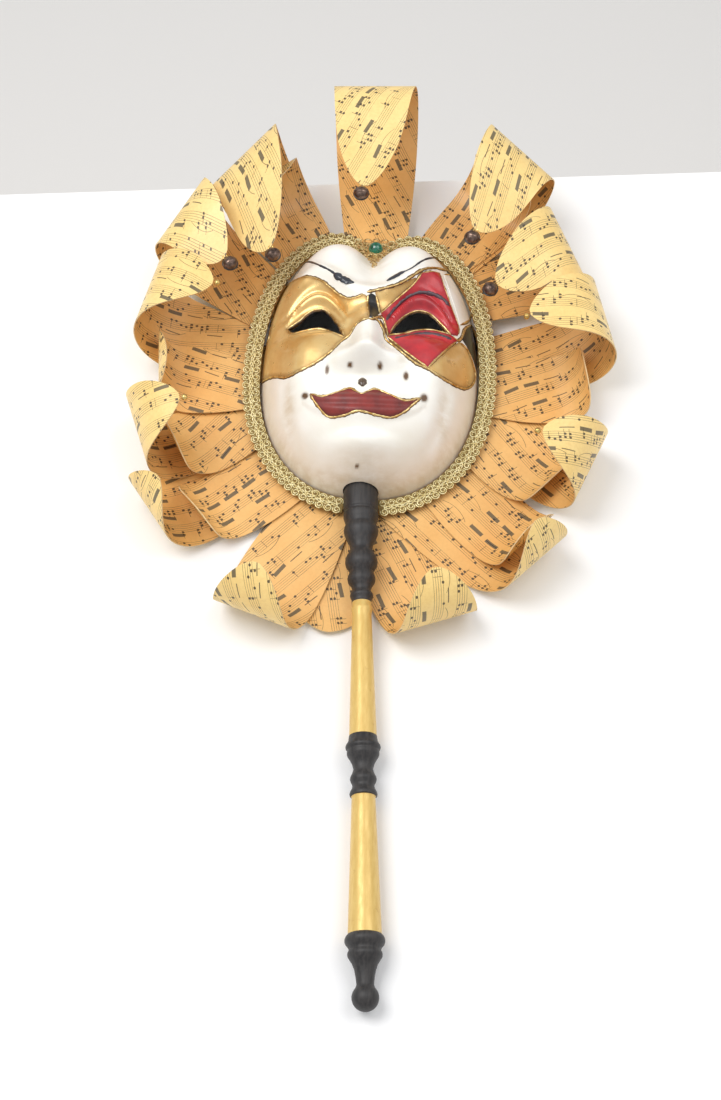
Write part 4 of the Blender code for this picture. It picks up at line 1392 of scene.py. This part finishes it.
def scroll_tree():
    """Two rows of curled cord on a path, with a plait of three cords between them."""
    tree = Tree("gimp_scrolls", ("Pitch", "Scroll radius", "Shift", "Cord radius"))
    path = tree.node("GeometryNodeMeshToCurve", {0: tree.size("Geometry")}).outputs[0]
    spacing = {"Curve": path, "Length": tree.size("Pitch")}
    beads = tree.node("GeometryNodeResampleCurve", spacing, mode="LENGTH")
    tangent = tree.node("GeometryNodeInputTangent").outputs[0]
    round_cord = {"Resolution": 6, "Radius": tree.size("Cord radius")}
    profile = tree.node("GeometryNodeCurvePrimitiveCircle", round_cord)
    parts = []
    for side in (-1.0, 1.0):
        inner = tree.sum("MULTIPLY", tree.size("Scroll radius"), 0.30)
        spiral = tree.node(
            "GeometryNodeCurveSpiral",
            {
                "Resolution": 11,
                "Rotations": SCROLL_TURNS,
                "Start Radius": inner,
                "End Radius": tree.size("Scroll radius"),
                "Height": tree.sum("MULTIPLY", tree.size("Cord radius"), -1.2),
            },
        )
        cord = tree.node(
            "GeometryNodeCurveToMesh",
            {"Curve": spiral.outputs[0], "Profile Curve": profile.outputs[0], "Fill Caps": True},
        )
        shift = tree.vector(0.0, tree.sum("MULTIPLY", tree.size("Shift"), side), 0.0)
        half_turn = (0.0, 0.0, math.pi if side > 0 else 0.0)
        moved = tree.node(
            "GeometryNodeTransform",
            {"Geometry": cord.outputs[0], "Translation": shift, "Rotation": half_turn},
        )
        turn = tree.node(
            "FunctionNodeAxesToRotation",
            {"Primary Axis": (0.0, 0.0, 1.0), "Secondary Axis": tangent},
            primary_axis="Z",
            secondary_axis="X",
        )
        placed = tree.node(
            "GeometryNodeInstanceOnPoints",
            {"Points": beads.outputs[0], "Instance": moved.outputs[0], "Rotation": turn.outputs[0]},
        )
        parts.append(placed.outputs[0])
    close = {"Curve": path, "Length": PLAIT_STEP}
    fine = tree.node("GeometryNodeResampleCurve", close, mode="LENGTH").outputs[0]
    run = tree.node("GeometryNodeSplineParameter").outputs["Length"]
    across = tree.vectors("CROSS_PRODUCT", {0: tangent, 1: (0.0, 0.0, 1.0)})
    for strand in range(3):
        phase = tree.sum("MULTIPLY", tree.sum("DIVIDE", run, tree.size("Pitch")), math.pi)
        phase = tree.sum("ADD", phase, 2.0 * math.pi * strand / 3.0)
        swing = tree.sum("MULTIPLY", tree.sum("SINE", phase), PLAIT_SWING)
        lift = tree.sum("MULTIPLY", tree.sum("COSINE", tree.sum("MULTIPLY", phase, 2.0)), PLAIT_RISE)
        aside = tree.vectors("SCALE", {0: across, "Scale": swing})
        raised = tree.vectors("ADD", {0: aside, 1: tree.vector(0.0, 0.0, lift)})
        waved = tree.node("GeometryNodeSetPosition", {"Geometry": fine, "Offset": raised})
        cord = tree.node(
            "GeometryNodeCurveToMesh",
            {"Curve": waved.outputs[0], "Profile Curve": profile.outputs[0], "Fill Caps": True},
        )
        parts.append(cord.outputs[0])
    tree.finish(*parts)
    return tree


def build_braid(finishes):
    """The curled cords and the flat woven ground that shows between them, coloured dark as painted shade for
    the gaps.
    """
    values = {
        "Pitch": SCROLL_PITCH,
        "Scroll radius": SCROLL_RADIUS,
        "Shift": SCROLL_SHIFT,
        "Cord radius": CORD_RADIUS,
    }
    cords = scroll_tree().made_on(braid_path(), values, finishes["thread"])
    add_piece("gimp_scrolls", cords, [finishes["thread"]], ("gimp_braid",))
    rings = []
    angles = braid_angles(BRAID_STEPS)
    for angle in angles:
        middle = outline_point(angle, BRAID_FACE_GAP + BRAID_WIDTH / 2.0)
        outward = Vector((math.cos(angle), math.sin(angle), 0.0))
        half = BRAID_WIDTH * 0.40
        for across, up in ((-1.24, 0.1), (1, 0.1), (1, 0.32), (-1.24, 0.32)):
            place = middle + outward * half * across
            place.z = braid_height(angle) + BRAID_THICKNESS * up
            rings.append(place)
    count = len(angles)
    faces = [(0, 1, 2, 3), tuple(range(4 * count - 4, 4 * count))]
    for i in range(count - 1):
        for j in range(4):
            k = (j + 1) % 4
            faces.append((i * 4 + j, i * 4 + k, i * 4 + 4 + k, i * 4 + 4 + j))
    ground = mesh_from("braid_ground", rings, faces)
    add_piece("braid_ground", ground, [finishes["ground"]])


# Ornament, stone, bells and beads


def turned_mesh(name, profile, sides):
    """A lathe shape about Z from (radius, height) pairs, bottom to top."""
    points = []
    for radius, height in profile:
        for i in range(sides):
            angle = 2.0 * math.pi * i / sides
            points.append((radius * math.cos(angle), radius * math.sin(angle), height))
    faces = []
    for i in range(len(profile) - 1):
        for j in range(sides):
            k = (j + 1) % sides
            faces.append((i * sides + j, i * sides + k, (i + 1) * sides + k, (i + 1) * sides + j))
    faces.append(tuple(range(sides)))
    faces.append(tuple(range((len(profile) - 1) * sides, len(profile) * sides)))
    return mesh_from(name, points, faces)


def torus_mesh(name, radius, wire, around=20, sides=8, stretch=1.0):
    """A ring of round wire, drawn out along Y by stretch."""
    points = []
    for i in range(around):
        angle = 2.0 * math.pi * i / around
        for j in range(sides):
            turn = 2.0 * math.pi * j / sides
            reach = radius + wire * math.cos(turn)
            points.append((reach * math.cos(angle), stretch * reach * math.sin(angle), wire * math.sin(turn)))
    faces = []
    for i in range(around):
        n = (i + 1) % around
        for j in range(sides):
            k = (j + 1) % sides
            faces.append((i * sides + j, n * sides + j, n * sides + k, i * sides + k))
    return mesh_from(name, points, faces)


def ornament_matrix():
    """The plate lies on the braid and leans towards the brow."""
    top = math.pi / 2.0
    lean = math.sin(ORNAMENT_TILT) * (BRAID_WIDTH / 2.0 + BRAID_FACE_GAP)
    height = braid_height(top) + BRAID_THICKNESS + ORNAMENT_REST_GAP + lean
    place = Vector((0.0, float(outline_radius(np.array(top))) + ORNAMENT_SHIFT, height))
    return Matrix.Translation(place) @ Matrix.Rotation(-ORNAMENT_TILT, 4, "X")


LACE_PETALS = 12
LACE_REACH = 0.0142
LACE_WIDENING = 0.0022
LACE_NARROWING = 0.35
LACE_MIDDLE = 0.0078
LACE_OUTER = 0.0104
LACE_HEIGHT = 0.92
LACE_TWIST = 0.26
PETAL_RADIUS = 0.0027
PETAL_WIRE = 0.00060
PENDANT_ROWS = 6
PENDANT_START = -0.0125
PENDANT_STEP = 0.0036
PENDANT_PITCH = 0.0040


def build_ornament(finishes):
    """Rings of wire laid as a rosette with a pendant, and the stone on it."""
    base = ornament_matrix()
    lean = base.to_3x3().to_4x4()
    meshes = []

    def ring(x, y, radius, wire, stretch=1.0, turn=0.0, lift=0.0):
        mesh = torus_mesh("ring", radius, wire, 18, 6, stretch)
        spot = base @ Vector((x, y, ORNAMENT_THICKNESS * 0.5 + lift))
        spot.z = max(spot.z, float(face_height(np.array(spot.x), np.array(spot.y))) + wire)
        angle = math.atan2(spot.y, spot.x)
        if math.hypot(spot.x, spot.y) > math.hypot(*outline_point(angle, 0.0)[:2]) - 0.001:
            spot.z = max(spot.z, braid_height(angle) + BRAID_THICKNESS * 0.75 + wire)
        mesh.transform(Matrix.Translation(spot) @ lean @ Matrix.Rotation(turn, 4, "Z"))
        meshes.append(mesh)

    for i in range(LACE_PETALS):
        angle = 2.0 * math.pi * i / LACE_PETALS
        narrowing = 1.0 + LACE_NARROWING * min(math.sin(angle), 0.0)
        reach = LACE_REACH + LACE_WIDENING * math.cos(2.0 * angle)
        x = reach * math.cos(angle) * narrowing
        y = LACE_HEIGHT * reach * math.sin(angle)
        ring(x, y, PETAL_RADIUS, PETAL_WIRE, 1.25, angle - math.pi / 2.0, 0.0012)
        x = LACE_MIDDLE * math.cos(angle + LACE_TWIST) * narrowing
        ring(x, LACE_MIDDLE * math.sin(angle + LACE_TWIST), 0.0018, 0.00050, 1.0, angle, 0.0004)
        ring(x * 1.32, LACE_OUTER * math.sin(angle + LACE_TWIST), 0.0010, 0.00055, 1.0, angle, 0.0007)
    for row in range(PENDANT_ROWS):
        count = max(PENDANT_ROWS - 1 - row, 1)
        for i in range(count):
            x = (i - (count - 1) / 2.0) * PENDANT_PITCH
            ring(x, PENDANT_START - row * PENDANT_STEP, 0.0018, 0.00055, 1.1)
    ring(0.0, 0.0, CABOCHON_RADIUS + 0.0004, 0.00085, 1.0, 0.0, 0.0006)
    lace = joined(meshes, "filigree_lace")
    add_piece("filigree_lace", lace, [finishes["filigree"]], ("filigree_ornament",))
    profile = []
    for i in range(13):
        angle = math.pi / 2.0 * i / 12
        radius = max(CABOCHON_RADIUS * math.cos(angle), 0.0001)
        profile.append((radius, 1.5 * CABOCHON_RISE * math.sin(angle)))
    stone = turned_mesh("cabochon", [(CABOCHON_RADIUS * 0.96, -0.0006)] + profile, 40)
    stone.transform(base @ Matrix.Translation((0.0, 0.0, ORNAMENT_THICKNESS + TOUCH_GAP)))
    add_piece("green_cabochon", stone, [finishes["stone"]], ("cabochon",))


def strip_rows(row, widths, steps=12):
    length = row[8]
    starts = {side: root_run(row, side * widths[0] / 2.0) for side in (-1, 0, 1)}
    rows = []
    for i in range(steps + 1):
        share = i / steps
        width = strip_width(share, *widths)
        points = []
        for side in (-1, 0, 1):
            run = starts[side] * (1.0 - share) + length * share
            points.append(strip_point(row, side * width / 2.0, run))
        rows.append(points)
    return rows


def strip_tip(row):
    """The farthest point of the tip and the direction the strip ends in."""
    length = row[8]
    end = strip_point(row, 0.0, length)
    heading = (end - strip_point(row, 0.0, length - 0.003)).normalized()
    last = [point for points in strip_rows(row, LOOP_WIDTHS)[-3:] for point in points]
    return max(last, key=lambda point: point.dot(heading)), heading


BELL_BULGE = 1.04
BELL_BAND = 0.06
BELL_SLOT_WIRE = 0.0007
BELL_EYE_RADIUS = 0.0017
BELL_EYE_WIRE = 0.00042


def build_bell(name, row, finishes):
    """A banded ball at a strip's tip, with a black ring round it as painted shade for its slot, and a gilt
    ring.
    """
    end, heading = strip_tip(row)
    centre = end + heading * (BELL_RADIUS + TOUCH_GAP + CARD_THICKNESS)
    profile = []
    steps = 24
    for i in range(steps + 1):
        angle = math.pi * i / steps - math.pi / 2.0
        bulge = BELL_BULGE + (BELL_BAND if abs(i - steps // 2) <= 1 else 0.0)
        radius = max(BELL_RADIUS * math.cos(angle) * bulge, 0.0001)
        profile.append((radius, BELL_RADIUS * math.sin(angle)))
    ball = turned_mesh(name, profile, 40)
    turn = heading.to_track_quat("-Z", "Y").to_matrix().to_4x4()
    ball.transform(Matrix.Translation(centre) @ turn)
    add_piece("bronze_" + name, ball, [finishes["bronze"]], (name,))
    # A black ring of wire: painted shade standing in for the dark of the bell's slot.
    slot_shade = torus_mesh("slot_shade", BELL_RADIUS * 1.01, BELL_SLOT_WIRE, 32)
    slot_shade.transform(Matrix.Translation(centre) @ turn @ Matrix.Rotation(math.pi / 2.0, 4, "X"))
    add_piece("slot_shade_of_" + name, slot_shade, [finishes["black"]])
    eye = torus_mesh("eye", BELL_EYE_RADIUS, BELL_EYE_WIRE)
    top = centre - heading * (BELL_RADIUS + 0.0010)
    eye.transform(Matrix.Translation(top) @ turn @ Matrix.Rotation(math.pi / 2.0, 4, "X"))
    add_piece("ring_of_" + name, eye, [finishes["gilt"]])


def build_bead(name, row, finishes):
    end, heading = strip_tip(row)
    centre = end + heading * (BEAD_RADIUS + TOUCH_GAP + CARD_THICKNESS)
    profile = []
    for i in range(17):
        angle = math.pi * i / 16 - math.pi / 2.0
        profile.append((max(BEAD_RADIUS * math.cos(angle), 0.00005), BEAD_RADIUS * math.sin(angle)))
    ball = turned_mesh(name, profile, 24)
    ball.transform(Matrix.Translation(centre))
    add_piece("gilt_" + name, ball, [finishes["gilt"]], (name,))


# Turned handle


def handle_matrix():
    """Axis from the chin down to the ball; the widest ring rests on the table."""
    run = HANDLE_LENGTH - WIDE_RING_BEFORE_BALL - HANDLE_DEPTH_IN_CHIN
    fall = HANDLE_SOCKET_HEIGHT - (WIDE_RING_RADIUS - TABLE_FLAT)
    slope = math.asin(fall / run)
    chin = Vector((FACE_AXIS, -CHIN_LENGTH, HANDLE_SOCKET_HEIGHT))
    turn = Matrix.Rotation(HANDLE_YAW, 4, "Z") @ Matrix.Rotation(math.pi / 2.0 + slope, 4, "X")
    start = chin - turn.to_3x3() @ Vector((0.0, 0.0, HANDLE_DEPTH_IN_CHIN))
    return Matrix.Translation(start) @ turn


# Handle's turned profile: distance and radius from the socket's end, round the middle and before the ball
BLACK_SOCKET = (
    (0.0000, 0.0091), (0.0010, 0.0107), (0.0040, 0.0123), (0.0100, 0.0130), (0.0225, 0.0130),
    (0.0235, 0.0129), (0.0242, 0.0123), (0.0252, 0.0121), (0.0260, 0.0123), (0.0267, 0.0129),
    (0.0275, 0.0130), (0.0299, 0.0130), (0.0325, 0.0123), (0.0350, 0.0114), (0.0365, 0.0116),
    (0.0385, 0.0125), (0.0405, 0.0128), (0.0420, 0.0128), (0.0440, 0.0124), (0.0480, 0.0108),
    (0.0520, 0.0090), (0.0558, 0.0082), (0.0580, 0.0087), (0.0610, 0.0103), (0.0640, 0.0117),
    (0.0673, 0.0120), (0.0700, 0.0115), (0.0725, 0.0100), (0.0747, 0.0088), (0.0770, 0.0094),
    (0.0804, 0.0104), (0.0835, 0.0098), (0.0865, 0.0078), (0.0894, 0.0067), (0.0912, 0.0070),
    (0.0930, 0.0083), (0.0943, 0.0086), (0.0958, 0.0082), (0.0972, 0.0073), (0.0999, 0.0070),
)
GOLD_UPPER = (
    (0.1001, 0.0071), (0.1030, 0.0071), (0.1040, 0.0076), (0.1055, 0.0077), (0.1070, 0.0076),
    (0.1080, 0.0072), (0.1128, 0.0072),
)
UPPER_CONE_END = 0.0098
BLACK_MIDDLE = (
    (0.0002, 0.0100), (0.0035, 0.0104), (0.0055, 0.0112), (0.0072, 0.0122), (0.0083, 0.0125),
    (0.0096, 0.0122), (0.0104, 0.0116), (0.0110, 0.0113), (0.0120, 0.0115), (0.0136, 0.0115),
    (0.0150, 0.0111), (0.0175, 0.0095), (0.0205, 0.0080), (0.0248, 0.0069), (0.0280, 0.0078),
    (0.0305, 0.0090), (0.0322, 0.0094), (0.0340, 0.0090), (0.0360, 0.0080), (0.0374, 0.0077),
    (0.0395, 0.0082), (0.0415, 0.0093), (0.0433, 0.0098), (0.0446, 0.0096), (0.0452, 0.0086),
)
LOWER_CONE = ((0.0454, 0.0083), (0.0429, 0.0116))
BLACK_END = (
    (0.0427, 0.0120), (0.0412, 0.0132), (0.0395, 0.0138), (0.0380, 0.0138), (0.0362, 0.0132),
    (0.0345, 0.0118), (0.0330, 0.0110), (0.0318, 0.0111), (0.0305, 0.0118), (0.0291, 0.0120),
    (0.0276, 0.0117), (0.0250, 0.0101), (0.0230, 0.0088), (0.0190, 0.0074), (0.0148, 0.0066),
    (0.0110, 0.0061), (0.0085, 0.0060),
)


def handle_profile():
    """Distance, radius and kind of wood, 0 black and 1 gold, along the handle."""
    middle = MIDDLE_RINGS_AT * HANDLE_LENGTH
    rows = [(reach, radius, 0) for reach, radius in BLACK_SOCKET]
    rows += [(reach, radius, 1) for reach, radius in GOLD_UPPER]
    rows.append((middle, UPPER_CONE_END, 1))
    rows += [(middle + reach, radius, 0) for reach, radius in BLACK_MIDDLE]
    (near, near_radius), (far, far_radius) = LOWER_CONE
    rows += [(middle + near, near_radius, 1), (HANDLE_LENGTH - far, far_radius, 1)]
    rows += [(HANDLE_LENGTH - reach, radius, 0) for reach, radius in BLACK_END]
    steps = 20
    first = math.asin(rows[-1][1] / BALL_RADIUS)
    for i in range(1, steps + 1):
        angle = first + (math.pi - first) * i / steps
        radius = max(BALL_RADIUS * math.sin(angle), 0.0001)
        rows.append((HANDLE_LENGTH - BALL_RADIUS * math.cos(angle), radius, 0))
    return rows


def build_handle(finishes):
    """The turned stick, black at its rings and gilded on its cones."""
    rows = handle_profile()
    sides = 56
    handle = turned_mesh("handle", [(radius, reach) for reach, radius, _ in rows], sides)
    numbers = []
    for row in rows[1:]:
        numbers.extend([row[2]] * sides)
    numbers.extend([0, 0])
    handle.polygons.foreach_set("material_index", numbers)
    handle.transform(handle_matrix())
    for vertex in handle.vertices:
        vertex.co.z = max(vertex.co.z, 0.0)
    wood = [finishes["black_wood"], finishes["gilded_wood"]]
    add_piece("turned_handle", handle, wood, ("handle",))


# Table, light and camera


TABLE_EDGE_LEFT = (0.0, 195.0)
TABLE_EDGE_RIGHT = (721.0, 172.0)
TABLE_REACH = 3.0
TABLE_HEIGHT = 0.6
SKY_COLOUR = (0.95, 0.97, 1.0, 1.0)
SKY_STRENGTH = 0.60


def on_table(pixel):
    """The place on the table that the photograph shows at this pixel."""
    right, high, ahead, place = camera_axes()
    ray = ahead * FOCAL_PIXELS
    ray += right * (pixel[0] - PHOTO_WIDTH / 2.0)
    ray -= high * (pixel[1] - PHOTO_HEIGHT / 2.0)
    return place - ray * (place.z / ray.z) + PLACE


def flat_sheet(name, corners, material):
    mesh = bpy.data.meshes.new(name)
    mesh.from_pydata(corners, [], [(0, 1, 2, 3)])
    item = loose_object("stage_" + name, mesh)
    mesh.materials.append(material)


def build_stage():
    """The pale table with the edge that the photograph shows, and the floor beyond it."""
    cloth = Finish("pale_table", roughness=0.85)
    cloth.colour(tone(250, 249, 248))
    wall = Finish("pale_wall", roughness=0.9)
    wall.colour(tone(234, 231, 227))
    left = on_table(TABLE_EDGE_LEFT)
    right = on_table(TABLE_EDGE_RIGHT)
    along = (right - left).normalized() * TABLE_REACH
    towards = Vector((along.y, -along.x, 0.0))
    down = Vector((0.0, 0.0, -TABLE_HEIGHT))
    left -= along
    right += along
    flat_sheet("table", [left + towards, right + towards, right, left], cloth.material)
    flat_sheet("side", [left, right, right + down, left + down], wall.material)
    beyond = [left + down, right + down, right + down - towards, left + down - towards]
    flat_sheet("floor", beyond, wall.material)


def add_lamp(name, place, aim, size, power):
    lamp = bpy.data.lights.new(name, "AREA")
    lamp.shape = "SQUARE"
    lamp.size = size
    lamp.energy = power
    item = bpy.data.objects.new(name, lamp)
    item.location = place
    item.rotation_euler = (Vector(aim) - Vector(place)).to_track_quat("-Z", "Y").to_euler()
    scene.collection.objects.link(item)
    return item


def light_scene():
    world = bpy.data.worlds.new("studio")
    world.use_nodes = True
    world.node_tree.nodes["Background"].inputs[0].default_value = SKY_COLOUR
    world.node_tree.nodes["Background"].inputs[1].default_value = SKY_STRENGTH
    scene.world = world
    add_lamp("window", (-0.85, 0.15, 1.75), (0.0, 0.0, 0.0), 1.1, 22.0)
    add_lamp("fill", (0.9, 0.2, 1.6), (0.0, 0.0, 0.0), 1.2, 9.0)
    scene.view_settings.view_transform = "Standard"
    scene.view_settings.look = "None"


def add_camera():
    right, high, ahead, place = camera_axes()
    lens = bpy.data.cameras.new("camera")
    lens.sensor_fit = "VERTICAL"
    lens.sensor_height = SENSOR_HEIGHT
    lens.sensor_width = SENSOR_HEIGHT
    lens.lens = FOCAL_PIXELS / PHOTO_HEIGHT * SENSOR_HEIGHT
    camera = bpy.data.objects.new("camera", lens)
    axes = Matrix((right, high, -ahead)).transposed().to_4x4()
    camera.matrix_world = Matrix.Translation(place + PLACE) @ axes
    scene.collection.objects.link(camera)
    scene.camera = camera


def main():
    add_camera()
    build_stage()
    light_scene()
    finishes = {
        "white": white_lacquer(),
        "inner": inner_paint(),
        "gold_leaf": gold_leaf(),
        "gold_line": gold_line(),
        "dark_edge": dark_edge(),
        "red": lacquer("red_lacquer", tone(204, 46, 52), tone(100, 16, 34), coat=0.35),
        "black": lacquer("black_lacquer", tone(30, 28, 27), tone(16, 14, 13), coat=0.0),
        "lips": lacquer("lip_lacquer", tone(142, 46, 40), tone(62, 22, 20), 90.0, 0.12, 0.52),
        "crease": lacquer("crease_grey", tone(84, 60, 68), tone(50, 32, 40), 45.0, 0.4),
        "brow": lacquer("brow_blue_black", tone(46, 50, 60), tone(20, 20, 26), 120.0, 0.5),
        "spot": lacquer("spot_brown", tone(84, 62, 38), tone(40, 28, 18), 200.0),
        "thread": gold_thread(),
        "ground": braid_ground(),
        "bronze": cast_metal("bronze", tone(142, 118, 104), tone(66, 54, 50), 0.34),
        "filigree": cast_metal("filigree", tone(246, 224, 168), tone(176, 144, 88), 0.38),
        "gilt": cast_metal("gilt_bead", tone(236, 206, 130), tone(176, 136, 70), 0.28),
        "stone": green_stone(),
        "black_wood": black_wood(),
        "gilded_wood": gilded_wood(),
    }
    build_face(finishes)
    paint_face(finishes)
    # Both sides of each strip carry one print: the inner side deeper orange as painted shade for the inside
    # of the rolls, the outer side lighter.
    card = [
        printed_card("card_print_shaded_inside", 0.0, tone(240, 192, 120), tone(228, 170, 94)),
        printed_card("card_print_lit_outside", 1.0, tone(250, 220, 148), tone(242, 204, 124)),
        card_edge(),
    ]
    for number, row in enumerate(LOOPS):
        build_strip(number, row, LOOP_WIDTHS, card)
    for number, row in enumerate(CURLS):
        build_strip(number + len(LOOPS), row, CURL_WIDTHS, card)
    build_braid(finishes)
    build_ornament(finishes)
    by_name = {row[0]: row for row in LOOPS}
    for number, name in enumerate(("loop_01_top", "loop_02", "loop_03", "loop_13", "loop_14"), 1):
        build_bell(f"bell_{number}", by_name[name], finishes)
    for number, name in enumerate(("loop_04", "loop_05", "loop_11", "loop_12"), 1):
        build_bead(f"tip_bead_{number}", by_name[name], finishes)
    build_handle(finishes)


main()
